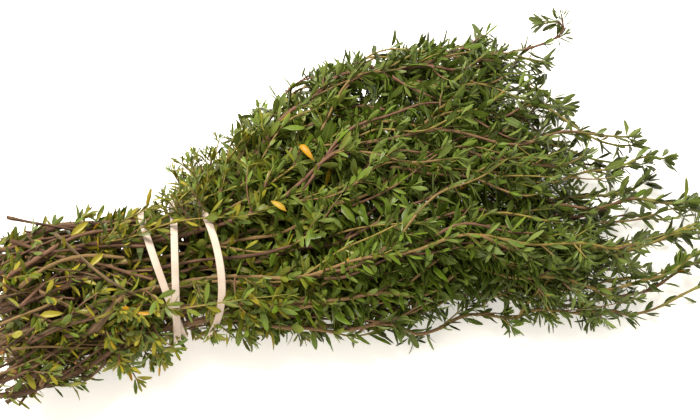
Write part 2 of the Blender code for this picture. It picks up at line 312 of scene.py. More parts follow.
@dataclass
class Surface:
    """Vertices, faces and values of one piece, gathered part by part and made a mesh at the end."""

    points: list[Array] = field(default_factory=list)
    quads: list[Array] = field(default_factory=list)
    triangles: list[Array] = field(default_factory=list)
    cuts: list[Array] = field(default_factory=list)
    values: dict[str, list[Array]] = field(default_factory=dict)
    count: int = 0

    def add(
        self, points: Array, quads: Array, triangles: Array, values: dict[str, Array], cuts: int = 0
    ) -> None:
        """Add one closed part.

        Args:
            points: its vertices, shape (n, 3).
            quads: corner numbers of its four-sided faces.
            triangles: corner numbers of its three-sided faces.
            values: three numbers per vertex for each named attribute.
            cuts: how many of the first triangles are a freshly cut face.
        """
        self.points.append(points)
        self.quads.append(quads + self.count)
        self.triangles.append(triangles + self.count)
        self.cuts.append(np.arange(len(triangles)) < cuts)
        for name, value in values.items():
            self.values.setdefault(name, []).append(value)
        self.count += len(points)

    def to_object(self, name: str) -> bpy.types.Object:
        """Make and link the mesh object. Its faces are smooth, except the cut ones.

        Args:
            name: the piece's name.

        Returns:
            The object, at the origin.
        """
        points, quads, triangles, cuts = (
            np.concatenate(parts) for parts in (self.points, self.quads, self.triangles, self.cuts)
        )
        corners = np.concatenate([quads.ravel(), triangles.ravel()])
        sizes = np.repeat([4, 3], [len(quads), len(triangles)])
        cut = np.concatenate([np.zeros(len(quads), dtype=bool), cuts])
        mesh = bpy.data.meshes.new(name)
        mesh.vertices.add(len(points))
        mesh.vertices.foreach_set("co", points.astype(np.float32).ravel())
        mesh.loops.add(len(corners))
        mesh.loops.foreach_set("vertex_index", corners.astype(np.int32))
        mesh.polygons.add(len(sizes))
        mesh.polygons.foreach_set("loop_start", (np.cumsum(sizes) - sizes).astype(np.int32))
        mesh.polygons.foreach_set("use_smooth", ~cut)
        for key, parts in self.values.items():
            vectors = np.concatenate(parts).astype(np.float32)
            set_attribute(mesh, key, "FLOAT_VECTOR", "POINT", vectors)
        if cut.any():
            set_attribute(mesh, "cut", "FLOAT", "FACE", cut.astype(np.float32))
        mesh.update(calc_edges=True)
        mesh.validate()
        if "blade" in self.values:
            self.crease_margins(mesh)
        made = bpy.data.objects.new(name, mesh)
        bpy.context.scene.collection.objects.link(made)
        return made

    def crease_margins(self, mesh: bpy.types.Mesh) -> None:
        """Keep leaf margins sharp: the edges whose two ends both lie between the blade's two sides.

        Args:
            mesh: the leaves' mesh.
        """
        side = np.concatenate(self.values["blade"])[:, 2]
        margin = (side > MARGIN_SIDES[0]) & (side < MARGIN_SIDES[1])
        ends = np.empty(2 * len(mesh.edges), dtype=np.int32)
        mesh.edges.foreach_get("vertices", ends)
        set_attribute(mesh, "sharp_edge", "BOOLEAN", "EDGE", margin[ends.reshape(-1, 2)].all(axis=1))


def ring_quads(rows: int, ring: int, closed: bool = False) -> Array:
    """Quads between neighbouring rings of vertices.

    Args:
        rows: how many rings.
        ring: how many vertices in a ring.
        closed: whether the last ring joins the first.

    Returns:
        Corner numbers, shape (n, 4).
    """
    row, corner = np.meshgrid(np.arange(rows if closed else rows - 1), np.arange(ring), indexing="ij")
    here, ahead, following = row * ring, (row + 1) % rows * ring, (corner + 1) % ring
    corners = [here + corner, here + following, ahead + following, ahead + corner]
    return np.stack(corners, axis=-1).reshape(-1, 4)


def tube_faces(rows: int, ring: int) -> tuple[Array, Array]:
    """Faces of a tube that is closed by a pole at each end. The poles are the last two vertices.

    Args:
        rows: how many rings of vertices.
        ring: how many vertices in a ring.

    Returns:
        The quads, and the triangles: the first pole's, then the last pole's.
    """
    corner, pole, top = np.arange(ring), np.full(ring, rows * ring), (rows - 1) * ring
    following = (corner + 1) % ring
    first = np.stack([pole, following, corner], axis=-1)
    last = np.stack([pole + 1, top + corner, top + following], axis=-1)
    return ring_quads(rows, ring), np.concatenate([first, last])


def resample(rows: Array, lengths: Array, stations: Array | float) -> Array:
    """Values of a line of rows at given lengths along it, by straight interpolation."""
    return np.stack([np.interp(stations, lengths, column) for column in rows.T], axis=-1)


def side_frames(points: Array) -> tuple[Array, Array, Array]:
    """Directions at each point of a line.

    The tangent is the difference of the neighbours. The first sideways direction is the tangent
    crossed with a fixed direction that the line never runs along, and the second is square to both.

    Args:
        points: the line, shape (n, 3).

    Returns:
        Unit tangents and two unit sideways directions.
    """
    tangent = unit(np.gradient(points, axis=0))
    upright = np.abs(tangent.mean(axis=0))[2] >= 0.8
    first = unit(np.cross(tangent, np.array([0.0, 1.0, 0.0]) if upright else UP))
    return tangent, first, np.cross(tangent, first)


def kept_inside(line: Array) -> Array:
    """Ease a line back where it would leave the bundle's width, and keep it off the table.

    Past 0.83 of the half width w, y becomes 0.83 w + 0.17 w (1 - exp(-(y - 0.83 w) / (0.17 w))).

    Args:
        line: points, shape (n, 3).

    Returns:
        The same number of points.
    """
    start, room = ROOM_START * cad_high[1], (1.0 - ROOM_START) * cad_high[1]
    out = np.abs(line[:, 1])
    y = np.minimum(out, start) + room * (1.0 - np.exp(-np.maximum(out - start, 0.0) / room))
    z = np.clip(line[:, 2], STRAND_FLOOR, cad_high[2] + HEAD_ROOM)
    return np.stack([line[:, 0], np.sign(line[:, 1]) * y, z], axis=-1)


class Kind(Enum):
    """What sort of strand a stem, branch or shoot is."""

    STEM = "stem"
    BRANCH = "branch"
    SHOOT = "shoot"
    TUFT = "tuft"
    WITHERED = "withered"
    TWIG = "twig"


@dataclass(frozen=True)
class Habit:
    """How one kind of strand grows. tuft and crown are numbers of leaves, withered how dry they are."""

    ring: int
    base_radius: float
    tip_radius: float
    node_spacing: float
    leaf_length: float
    tip_leaf_length: float
    tuft: int
    tuft_share: float
    crown: int
    gnarl: float
    leaf_width: float
    withered: float = 0.0


HABITS = {
    Kind.STEM: Habit(7, *mm(1.18, 0.52, 9.1, 10.2, 9.6), 2, 0.85, 12, 0.13, 1.0),
    Kind.BRANCH: Habit(5, *mm(0.72, 0.42, 9.0, 9.8, 9.0), 2, 0.85, 10, 0.08, 1.0),
    Kind.SHOOT: Habit(4, *mm(0.42, 0.28, 7.4, 9.0, 7.2), 1, 0.90, 8, 0.03, 0.95),
    Kind.TUFT: Habit(4, *mm(0.45, 0.28, 4.2, 7.6, 6.0), 1, 0.90, 8, 0.03, 0.70),
    Kind.WITHERED: Habit(4, *mm(0.46, 0.32, 6.0, 4.2, 3.2), 1, 0.50, 4, 0.10, 0.85, 0.7),
    Kind.TWIG: Habit(6, *mm(1.10, 0.70, 10.0, 8.0, 6.0), 2, 0.6, 0, 0.18, 1.0),
}


@dataclass(frozen=True)
class LeafShape:
    """One leaf as a closed shell: rows along its blade, and a ring of points round each row.

    A ring point lies at across times the row's half width, and at height times it above the blade's
    middle line. width gives each row's share of the leaf's half width, and underside runs from 0 on
    the upper side over the margin to 1 below.
    """

    along: tuple[float, ...]
    width: tuple[float, ...]
    across: tuple[float, ...]
    height: tuple[float, ...]
    underside: tuple[float, ...]


BROAD_LEAF = LeafShape(
    along=(0.14, 0.38, 0.66, 0.90),
    width=(0.28, 0.90, 0.98, 0.56),
    across=(-1.0, 0.0, 1.0, 0.0),
    height=(-0.06, 0.12, -0.06, -0.24),
    underside=(MARGIN, 0.0, MARGIN, 1.0),
)
NARROW_LEAF = LeafShape(
    along=(0.18, 0.54, 0.87),
    width=(0.42, 1.0, 0.66),
    across=(-1.0, 0.0, 1.0, 0.0),
    height=(0.0, 0.14, 0.0, -0.26),
    underside=(MARGIN, 0.0, MARGIN, 1.0),
)
INNER_LEAF = LeafShape(
    along=(0.30, 0.68),
    width=(1.22, 1.10),
    across=(-1.0, 0.0, 1.0),
    height=(-0.05, 0.14, -0.05),
    underside=(0.5, 0.0, 0.5),
)


@dataclass
class LeafBatch:
    """Many leaves of one shape.

    Each leaf has a root, where it starts; a heading, the unit direction of its midrib; and a face,
    the unit direction that its upper side looks to. Its form is its length, half width, arch and
    fold. Its life is its age, tint and grey tone (the grey partly painted sheen), times the painted
    shade scale, which paints shade onto a batch that lies deep inside: age runs from 0, fresh,
    over 1, golden, to 2, dried up, and the others from 0 to 1.
    """

    shape: LeafShape
    painted_shade_scale: Triple = (1.0, 1.0, 1.0)
    parts: list[tuple[Array, ...]] = field(default_factory=list)

    def add(self, root: Array, heading: Array, face: Array, form: Array, life: Array) -> None:
        """Add leaves, a row of each array for each leaf."""
        self.parts.append((root, heading, face, form, life * self.painted_shade_scale))

    def build_into(self, surface: Surface) -> int:
        """Work out every leaf's shell at once and add it.

        A ring point is root + length t heading - arch length t² face, plus across times the row's
        width sideways, plus (height + fold |across|) times the row's width along face. A leaf that
        would go through the table is turned up until its tip lies on it.

        Args:
            surface: what the shells go into.

        Returns:
            How many leaves were made.
        """
        root, heading, face, form, life = (np.concatenate(column) for column in zip(*self.parts))
        length, half_width, arch, fold = form.T
        low = root[:, 2] + heading[:, 2] * length < 2.0 * LEAF_FLOOR
        heading[low, 2] = np.clip((2.0 * LEAF_FLOOR - root[low, 2]) / length[low], -0.95, 0.95)
        heading = unit(heading)
        face = squared(face, heading)
        sideways = np.cross(face, heading)
        shape, across = self.shape, np.array(self.shape.across)
        rows, ring, count = len(shape.along), len(across), len(root)
        along = np.array([*shape.along, 0.0, 1.0])
        middle = root[:, None] + heading[:, None] * (length[:, None] * along)[..., None]
        middle = middle - face[:, None] * ((arch * length)[:, None] * along**2)[..., None]
        width = (half_width[:, None] * shape.width)[..., None]
        bow = shape.height + fold[:, None, None] * np.abs(across)
        shell = middle[:, :rows, None] + sideways[:, None, None] * (width * across)[..., None]
        shell = shell + face[:, None, None] * (width * bow)[..., None]
        points = np.concatenate([shell.reshape(count, rows * ring, 3), middle[:, rows:]], axis=1)
        points[..., 2] = np.maximum(points[..., 2], LEAF_FLOOR)
        quads, triangles = tube_faces(rows, ring)
        step = (np.arange(count) * (rows * ring + 2))[:, None, None]
        columns = (np.tile(across, rows), np.repeat(shape.along, ring), np.tile(shape.underside, rows))
        poles = [[0.0, 0.0, MARGIN], [0.0, 1.0, MARGIN]]
        blade = np.concatenate([np.stack(columns, axis=-1), poles])
        values = {"blade": np.tile(blade, (count, 1)), "life": np.repeat(life, len(blade), axis=0)}
        surface.add(
            points.reshape(-1, 3), (quads + step).reshape(-1, 4), (triangles + step).reshape(-1, 3), values
        )
        return count


@dataclass
class Strand:
    """One stem, branch or shoot: its centreline, thickness and age, and where its leaves stand.

    The centreline is kept at stations: every node, just before and after it, and halfway between.
    """

    kind: Kind
    line: Array
    rng: np.random.Generator
    woodiness: float
    tint: float
    thickness: float = 1.0
    leafless: float = 0.0
    node_jitter: float = 0.12
    first_node: float = 0.35
    node_margins: Span = (0.001, 0.0015)
    swell: float = 0.32
    swell_length: float = 0.9 * MM
    swell_reach: float = 1.1 * MM
    least_step: float = 0.25 * MM
    taper: float = 0.62
    cut_slant: Span = (0.3, 1.5)
    tip_length: float = 1.2
    fibre_length: float = 0.01

    def __post_init__(self) -> None:
        """Place the nodes along the line and work out what is needed at each."""
        self.habit = HABITS[self.kind]
        self.leaf_tint, self.leaf_grey = self.rng.random(2)
        steps = np.linalg.norm(np.diff(self.line, axis=0), axis=1)
        lengths = np.concatenate([[0.0], np.cumsum(steps)])
        self.length = float(lengths[-1])
        spacing = self.habit.node_spacing
        count = max(2, int((self.length - self.leafless) / spacing))
        jitter = self.rng.uniform(-self.node_jitter, self.node_jitter, count) * spacing
        first = self.leafless + self.first_node * spacing
        nodes = np.linspace(first, self.length, count, endpoint=False) + jitter
        nodes = np.clip(nodes, self.node_margins[0], self.length - self.node_margins[1])
        halfway = 0.5 * (nodes[1:] + nodes[:-1])
        beside = [nodes - self.swell_reach, nodes + self.swell_reach]
        stations = np.concatenate([[0.0, self.leafless, self.length], nodes, *beside, halfway])
        stations = np.unique(np.round(np.clip(stations, 0.0, self.length), 5))
        self.nodes = nodes
        self.stations = stations[np.insert(np.diff(stations) > self.least_step, 0, True)]
        self.points = resample(kept_inside(self.line), lengths, self.stations)
        self.tangent, self.first, self.second = side_frames(self.points)

    def radius(self) -> Array:
        """Radius at the stations: base + (tip - base) share^0.62, with a bell's swell at each node.

        Returns:
            One radius a station.
        """
        base, tip = self.habit.base_radius, self.habit.tip_radius
        even = base + (tip - base) * (self.stations / self.length) ** self.taper
        near = bell(self.stations[:, None], self.nodes, self.swell_length)
        return self.thickness * even * (1.0 + self.swell * near.max(axis=1))

    def youth(self) -> Array:
        """Age of the bark at the stations, from 0, woody, to 1, green: 1 - woodiness (1 - share^1.3).

        Returns:
            One age a station. A twig's bark ripens far less along its length.
        """
        ripening = 0.15 if self.kind is Kind.TWIG else 1.0
        share = (self.stations / self.length) ** 1.3
        return np.clip(1.0 - self.woodiness * (1.0 - ripening * share), 0.0, 1.0)

    def build_into(self, surface: Surface) -> None:
        """Sweep the strand's section along its centreline and add the closed tube.

        The section is round with four soft corners, 1 + 0.05 cos 4a, and a slow twisting swell:
        gnarl times (sin(2a + 160 s) + 0.6 sin(a + 613 s)). The first ring is cut on a slant.

        Args:
            surface: what the tube goes into.
        """
        ring, rows = self.habit.ring, len(self.stations)
        angle = FULL_TURN * np.arange(ring) / ring + self.rng.uniform(0.0, FULL_TURN)
        cosine, sine = np.cos(angle), np.sin(angle)
        along = self.stations[:, None]
        swell = np.sin(2.0 * angle + 160.0 * along + 9.0 * self.tint)
        knots = np.sin(angle + 613.0 * along + 5.0 * self.tint)
        gnarl = self.habit.gnarl * self.woodiness * (swell + 0.6 * knots)
        outline = self.radius()[:, None] * (1.0 + 0.05 * np.cos(4.0 * angle) + gnarl)
        sideways = cosine[:, None] * self.first[:, None] + sine[:, None] * self.second[:, None]
        shell = self.points[:, None] + sideways * outline[..., None]
        slant = self.rng.uniform(*self.cut_slant) * outline[0] * np.cos(angle - 9.0 * self.tint)
        shell[0] += self.tangent[0] * slant[:, None]
        tip = self.points[-1] + self.tangent[-1] * self.tip_length * outline[-1].mean()
        points = np.concatenate([shell.reshape(-1, 3), [self.points[0]], [tip]])
        points[:, 2] = np.maximum(points[:, 2], SKIN_FLOOR)
        round_it = np.concatenate([np.tile([cosine, sine], rows), np.zeros((2, 2))], axis=1)
        lengths = np.concatenate([np.repeat(self.stations, ring), [0.0, self.length]])
        fibre = np.stack([*round_it, lengths / self.fibre_length + 50.0 * self.tint], axis=-1)
        youth = np.concatenate([np.repeat(self.youth(), ring), [0.0, 1.0]])
        bark = np.outer(youth, ALONG) + np.array([0.0, self.tint, 0.0])
        surface.add(points, *tube_faces(rows, ring), {"fibre": fibre, "bark": bark}, cuts=ring)

    def at_nodes(self, extra: int = 0) -> tuple[Array, ...]:
        """Where the leaves of each node stand.

        Args:
            extra: how many axes to put in for the leaves of a node.

        Returns:
            Point, tangent and the two sideways directions at every node.
        """
        point, tangent, first = (
            resample(rows, self.stations, self.nodes) for rows in (self.points, self.tangent, self.first)
        )
        tangent, first = unit(tangent), unit(first)
        stand = (point, tangent, first, np.cross(tangent, first))
        return tuple(rows.reshape(len(rows), *[1] * extra, 3) for rows in stand)


@dataclass
class LeafGrower:
    """Puts leaves on strands: opposite pairs, tufts in their axils and a crown at the tip.

    Each rise is over x, except those over the depth, over y from near to far, and over a strand. A
    pair is a mean and a spread. A lean is the angle from the strand's direction: lean, late_lean_less
    and crown_lean_range are in degrees, fill_leans in radians, and tuft_lean a share of the pair's.
    """

    form: BundleForm
    seat: Array
    rng: np.random.Generator
    broad: LeafBatch = field(default_factory=lambda: LeafBatch(BROAD_LEAF))
    narrow: LeafBatch = field(default_factory=lambda: LeafBatch(NARROW_LEAF))
    # Painted shade: the inner leaves' age, tint and grey are scaled down, so they are less yellow, darker
    # and less grey, as if shaded deep in the bundle.
    inner: LeafBatch = field(default_factory=lambda: LeafBatch(INNER_LEAF, (0.8, 0.5, 0.35)))
    cut_end_share: float = 0.66
    behind_share: Rise = Rise(-0.180, -0.150, 0.20)
    fan_share: Rise = Rise(-0.0915, -0.0415)
    band_gap: float = 0.0175
    far_band_gap_over_y: Rise = Rise(0.0, 0.020, 0.0060)
    skin_over_depth: Rise = Rise(0.50, 0.80, 0.94)
    old: Rise = Rise(0.03, -0.12)
    golden: Rise = Rise(-0.085, -0.120, 0.018)
    golden_ages: Span = (0.78, 1.0)
    golden_anywhere: float = 0.001
    young_age: Pair = (0.07, 0.06)
    ageing: float = 0.24
    oldest: float = 0.72
    dried_spread: float = 0.1
    dark_old: float = 0.05
    # Painted shade: leaf tints darken towards the fan's tips.
    painted_tip_shade: Rise = Rise(0.01, 0.11, 0.34)
    tint_spread: float = 0.14
    grey_spread: float = 0.15
    heading_spread: float = 0.12
    face_up: float = 0.55
    face_spread: float = 0.38
    arch: Pair = (0.15, 0.21)
    fold: Pair = (0.05, 0.36)
    withered_curl: float = 0.6
    slenderness: Span = (0.110, 0.180)
    slim_fan: Rise = Rise(-0.03, 0.05, 0.22)
    broad_tips: Rise = Rise(0.08, 0.12, 0.22)
    root_depth: float = 0.45 * MM
    fill_density: float = 0.74
    fill_lengths: Span = (0.0085, 0.0120)
    fill_turn_spread: float = 0.45
    fill_leans: Span = (0.9, 1.7)
    far_fill_depth: float = 0.14
    far_fill_gain: float = 0.25
    fill_over_depth: Rise = Rise(0.58, 0.88)
    far_over_y: Rise = Rise(0.0, 0.030)
    open_tips: Rise = Rise(0.070, 0.104)
    long_behind: Rise = Rise(-0.125, -0.085, 0.18)
    short_fan: Rise = Rise(-0.05, 0.06, 0.18)
    full_tips: Rise = Rise(0.050, 0.090)
    full_cut_ends: Rise = Rise(-0.105, -0.125, 0.35)
    late_on_strand: Rise = Rise(0.45, 1.0)
    usual_size: float = 0.88
    turn_spread: float = 0.2
    lean: float = 56.0
    late_lean_less: float = 22.0
    lost_share: float = 0.10
    pair_sizes: Span = (0.78, 1.18)
    pair_lean_spread: float = 0.16
    tuft_size: float = 0.76
    tuft_sizes: Span = (0.62, 1.15)
    tuft_turn_spread: float = 0.62
    tuft_lean: float = 0.62
    tuft_lean_spread: float = 0.26
    crown_sizes: Span = (0.85, 1.15)
    crown_size_range: Span = (0.55, 1.0)
    crown_lean_range: Span = (12.0, 52.0)
    crown_least_share: float = 0.4
    crown_depth: float = 2.2 * MM

    def leafiness(self, point: Array) -> Array:
        """Share of nodes that bear leaves: most, but hardly any where the band lies on the skin.

        Args:
            point: where the nodes are.

        Returns:
            A share from 0 to 1 for each.
        """
        own = point - self.seat
        x = own[..., 0]
        behind = self.cut_end_share + self.behind_share(x)
        gap = self.band_gap - self.far_band_gap_over_y(own[..., 1])
        bare = self.skin_over_depth(self.form.depth(own)) * bell(x, self.form.band_x, gap, 4)
        return (behind + (1.0 - behind) * self.fan_share(x)) * (1.0 - bare)

    def life(self, point: Array, strand: Strand) -> Array:
        """Age, tint and grey tone of leaves, by where they are, by their strand and by chance.

        Leaves behind the band are olive to yellow-green, and those of the fan seldom. A few are golden.
        The tint darkens a little with age, and with painted shade towards the fan's tips.

        Args:
            point: where the leaves start.
            strand: what they grow on.

        Returns:
            Three numbers a leaf.
        """
        x = point[..., 0] - self.seat[0]
        old, draw, withered = self.old(x), self.rng.normal, strand.habit.withered
        mean, spread = (least + self.ageing * old for least in self.young_age)
        age = np.clip(draw(mean, spread, x.shape), 0.0, self.oldest)
        golden = self.rng.random(x.shape) < self.golden_anywhere + self.golden(x)
        age = np.where(golden, self.rng.uniform(*self.golden_ages, x.shape), age)
        dried = 1.0 + withered + draw(0.0, self.dried_spread, x.shape)
        # shade: a little darker with age, plus painted shade that darkens the tint towards the fan's tips.
        shade = self.dark_old * old + self.painted_tip_shade(x)
        tint = draw(0.10 + 0.80 * strand.leaf_tint, self.tint_spread, x.shape) - shade
        # Grey tone: partly the leaves' own grey-green, and partly painted sheen.
        grey = draw(strand.leaf_grey, self.grey_spread, x.shape)
        return np.stack([dried if withered else age, *np.clip([tint, grey], 0.0, 1.0)], axis=-1)

    def place(
        self,
        batch: LeafBatch,
        strand: Strand,
        stand: tuple[Array, ...],
        turn: Array,
        forward: Array,
        length: Array,
        keep: Array,
    ) -> None:
        """Add leaves whose midribs lean from the stem's direction by the forward angle.

        Their upper sides look along the stem and a little up, as a lying stem turns them.

        Args:
            batch: the leaves that these join.
            strand: what they grow on.
            stand: point on the strand, tangent and two sideways directions where each leaf stands.
            turn: angle round the stem of each leaf.
            forward: angle between the leaf and the stem's direction.
            length: length of each leaf.
            keep: which leaves really grow.
        """
        base, tangent, first, second = stand
        draw = self.rng.normal
        outward = np.cos(turn)[..., None] * first + np.sin(turn)[..., None] * second
        heading = np.cos(forward)[..., None] * tangent + np.sin(forward)[..., None] * outward
        heading = unit(heading + draw(0.0, self.heading_spread, heading.shape))
        face = tangent + self.face_up * UP + draw(0.0, self.face_spread, heading.shape)
        face = squared(face, heading)
        root = base + self.root_depth * outward
        x = root[..., 0] - self.seat[0]
        slender = strand.habit.leaf_width * self.rng.uniform(*self.slenderness, length.shape)
        slender = slender * (1.0 - self.slim_fan(x) + self.broad_tips(x))
        arch = draw(*self.arch, length.shape)
        fold = draw(*self.fold, length.shape)
        curl = 1.0 + self.withered_curl * strand.habit.withered
        form = np.stack([length, length * slender / curl, arch * curl, fold * curl], axis=-1)
        life = self.life(root, strand)
        batch.add(root[keep], heading[keep], face[keep], form[keep], life[keep])

    def fill(self, strand: Strand) -> None:
        """Spread plain leaves to both sides of a stem or branch, to close the inside.

        They stand at each node and half a spacing on, most of them deep in the bundle.

        Args:
            strand: the stem or branch.
        """
        point, tangent, first, second = strand.at_nodes(2)
        step = np.array([0.0, 0.5 * strand.habit.node_spacing])[:, None, None]
        size = (len(point), 2, 2)
        turn = BOTH_SIDES + self.rng.normal(0.0, self.fill_turn_spread, size)
        forward = self.rng.uniform(*self.fill_leans, size)
        length = self.rng.uniform(*self.fill_lengths, size)
        own = point - self.seat
        far = self.far_over_y(own[..., 1])
        inside = 1.0 - self.fill_over_depth(self.form.depth(own) - self.far_fill_depth * far)
        inside = inside * (1.0 + self.far_fill_gain * far) * (1.0 - self.open_tips(own[..., 0]))
        keep = self.rng.random(size) < self.fill_density * inside * self.leafiness(point)
        stand = (point + step * tangent, tangent, first, second)
        # These leaves go into the inner batch, which paints shade onto them.
        self.place(self.inner, strand, stand, turn, forward, length, keep)

    def dress(self, strand: Strand, density: float) -> None:
        """Grow all leaves of one strand.

        Pairs stand at each node, a quarter turn on from the last. Tufts of smaller leaves stand in
        their axils, and a crown closes the tip. Towards the tip leaves shorten and lean forward.

        Args:
            strand: what the leaves grow on.
            density: how much of the usual foliage grows; near the bundle's tips all of it does.
        """
        habit, draw, uniform = strand.habit, self.rng.normal, self.rng.uniform
        point = strand.at_nodes()[0]
        x, count = point[:, 0] - self.seat[0], len(point)
        start = uniform(0.0, FULL_TURN)
        turn = start + np.arange(count) * 0.5 * math.pi + draw(0.0, self.turn_spread, count)
        turn = turn[:, None] + BOTH_SIDES
        late = self.late_on_strand(strand.nodes / strand.length)
        leaf = habit.leaf_length + (habit.tip_leaf_length - habit.leaf_length) * late
        leaf = leaf * (self.usual_size + self.long_behind(x) - self.short_fan(x))
        density = np.maximum(density, self.full_tips(x)) * (1.0 + self.full_cut_ends(x))
        forward = np.radians(self.lean - self.late_lean_less * late)
        grows = self.rng.random(count) < density * self.leafiness(point)
        lost = self.rng.random((count, 2)) < self.lost_share
        length = leaf[:, None] * uniform(*self.pair_sizes, (count, 2))
        lean = forward[:, None] + draw(0.0, self.pair_lean_spread, (count, 2))
        pair = grows[:, None] & ~lost
        self.place(self.broad, strand, strand.at_nodes(1), turn, lean, length, pair)
        size = (count, 2, habit.tuft)
        turn = turn[..., None] + draw(0.0, self.tuft_turn_spread, size)
        lean = self.tuft_lean * forward[:, None, None] + draw(0.0, self.tuft_lean_spread, size)
        length = self.tuft_size * leaf[:, None, None] * uniform(*self.tuft_sizes, size)
        kept = grows[:, None, None] & (self.rng.random(size) < habit.tuft_share)
        self.place(self.narrow, strand, strand.at_nodes(2), turn, lean, length, kept)
        turn = start + GOLDEN_ANGLE * np.arange(habit.crown)
        lean = np.radians(np.linspace(*self.crown_lean_range, habit.crown))
        length = habit.tip_leaf_length * np.linspace(*self.crown_size_range, habit.crown)
        length = length * uniform(*self.crown_sizes, habit.crown)
        kept = self.rng.random(habit.crown) < max(self.crown_least_share, density[-1])
        back = np.linspace(0.0, self.crown_depth, habit.crown)[:, None] * strand.tangent[-1]
        stand = (strand.points[-1] - back, strand.tangent[-1], strand.first[-1], strand.second[-1])
        self.place(self.narrow, strand, stand, turn, lean, length, kept)


def finish_piece(piece: bpy.types.Object, material: bpy.types.Material, node: str) -> None:
    """Dress a finished piece, hang it on the body that it rides on, and hide the CAD node it replaces.

    Args:
        piece: the object.
        material: its finish.
        node: the CAD node that it replaces.
    """
    piece.data.materials.append(material)
    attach(piece, BODY)
    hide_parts(node)
    log.info("%s: %d vertices, %d faces", piece.name, len(piece.data.vertices), len(piece.data.polygons))


@dataclass(frozen=True)
class GoldenLeaf:
    """A large yellowed leaf that stands out. Lift is its height above its sprig's stem at x."""

    sprig: int
    x: float
    length: float
    yellowing: float
    lift: float
    slenderness: float = 0.17
    arch: float = 0.60
    fold: float = 1.10
    tint: float = 0.6


GOLDEN_LEAVES = (
    GoldenLeaf(23, -0.0305, 0.0088, 0.97, 0.0165),
    GoldenLeaf(22, -0.0425, 0.0076, 0.88, 0.0140),
    GoldenLeaf(18, -0.0670, 0.0075, 0.78, 0.0088),
    GoldenLeaf(26, -0.1340, 0.0085, 0.72, 0.0088),
    GoldenLeaf(22, -0.1220, 0.0080, 0.76, 0.0110),
    GoldenLeaf(25, -0.1520, 0.0085, 0.74, 0.0088),
)


@dataclass(frozen=True)
class LooseTwig:
    """A bare twig or stump across the stems behind the band, bent between three points.

    Each point has an x, an angle round the section in degrees, and a distance out, as a share of the
    section's radius.
    """

    sprig: int
    x: Triple
    angle: Triple
    out: Triple
    thickness: float
    woodiness: float


LOOSE_TWIGS = (
    LooseTwig(24, (-0.141, -0.132, -0.112), (57.0, 98.0, 130.0), (1.02, 1.10, 1.02), 0.75, 1.0),
    LooseTwig(25, (-0.134, -0.127, -0.118), (150.0, 140.0, 130.0), (1.02, 1.10, 0.96), 1.95, 0.9),
    LooseTwig(26, (-0.160, -0.150, -0.130), (41.0, 36.0, 52.0), (1.30, 1.12, 0.96), 0.80, 1.0),
    LooseTwig(22, (-0.158, -0.137, -0.114), (98.0, 82.0, 94.0), (1.02, 1.10, 1.00), 1.00, 0.75),
)


@dataclass(frozen=True)
class Fringe:
    """Short shoots that lean out along a stretch of the stems of the sprigs whose u is in a span.

    stretch is the span of x that they grow from, start the spans of x, y and z of their starting
    direction, bend those of their bend, and length that of their length.
    """

    sprigs: Span
    stretch: Span
    count: int
    start: tuple[Span, Span, Span]
    bend: tuple[Span, Span, Span]
    length: Span
    kind: Kind = Kind.SHOOT
    woodiness: float = 0.4
    more_far_out: float = 0.0


# Spans of u that take in the sprigs of the far side, of its edge and of the near side.
FAR = (0.20, 2.0)
FAR_EDGE = (0.60, 2.0)
NEAR = (-2.0, -0.40)

# Spans that several fringes share. STILL leaves nothing to chance and bends nothing.
STILL = (0.0, 0.0)
NEAR_START = ((-0.5, 0.7), (-1.0, -1.0), (-0.3, 0.4))
NEAR_BEND = ((-0.1, 0.3), STILL, STILL)
FRINGES = (
    Fringe(
        FAR, (-0.0855, -0.0675), 5, ((-1.2, 0.15), (0.85, 0.85), (0.4, 0.9)), ((0.0, 0.2), STILL, STILL),
        (0.014, 0.024), Kind.TUFT,
    ),
    Fringe(
        FAR, (-0.0735, -0.0515), 4, ((-0.2, 0.8), (1.0, 1.0), (0.2, 0.8)), ((0.25, 0.25), STILL, STILL),
        (0.016, 0.026),
    ),
    Fringe(
        FAR, (-0.0515, 0.0), 1, ((0.6, 1.8), (1.0, 1.0), (0.0, 0.6)), ((0.35, 0.35), STILL, STILL),
        (0.006, 0.011), more_far_out=3.0,
    ),
    Fringe(NEAR, (-0.0885, -0.0805), 2, NEAR_START, NEAR_BEND, (0.0064, 0.0096), Kind.TUFT),
    Fringe(NEAR, (-0.1395, -0.1055), 2, NEAR_START, NEAR_BEND, (0.0080, 0.0120)),
    Fringe(NEAR, (-0.1295, -0.1055), 2, NEAR_START, NEAR_BEND, (0.0120, 0.0180)),
    Fringe(NEAR, (-0.0735, -0.0575), 2, NEAR_START, NEAR_BEND, (0.0072, 0.0108)),
    Fringe(NEAR, (0.0435, 0.0985), 3, NEAR_START, NEAR_BEND, (0.0080, 0.0120)),
    Fringe(
        FAR_EDGE, (-0.060, 0.060), 3, ((1.0, 1.0), (0.1, 0.4), (0.0, 0.3)),
        ((0.2, 0.2), (-0.35, 0.0), (-0.15, 0.05)), (0.014, 0.027), Kind.WITHERED, 0.9,
    ),
)

# Angle round the section, in degrees, of the leafy stalk that some top sprigs send over the band.
STALKS_OVER_BAND = {24: 50.0, 23: 64.0, 26: 79.0, 25: 143.0}

# How much of the usual foliage some strands bear. The others bear what their sprig's place gives.
DENSITIES = {Kind.TWIG: 0.58, Kind.TUFT: 15.0}
STALK_DENSITY = 20.0


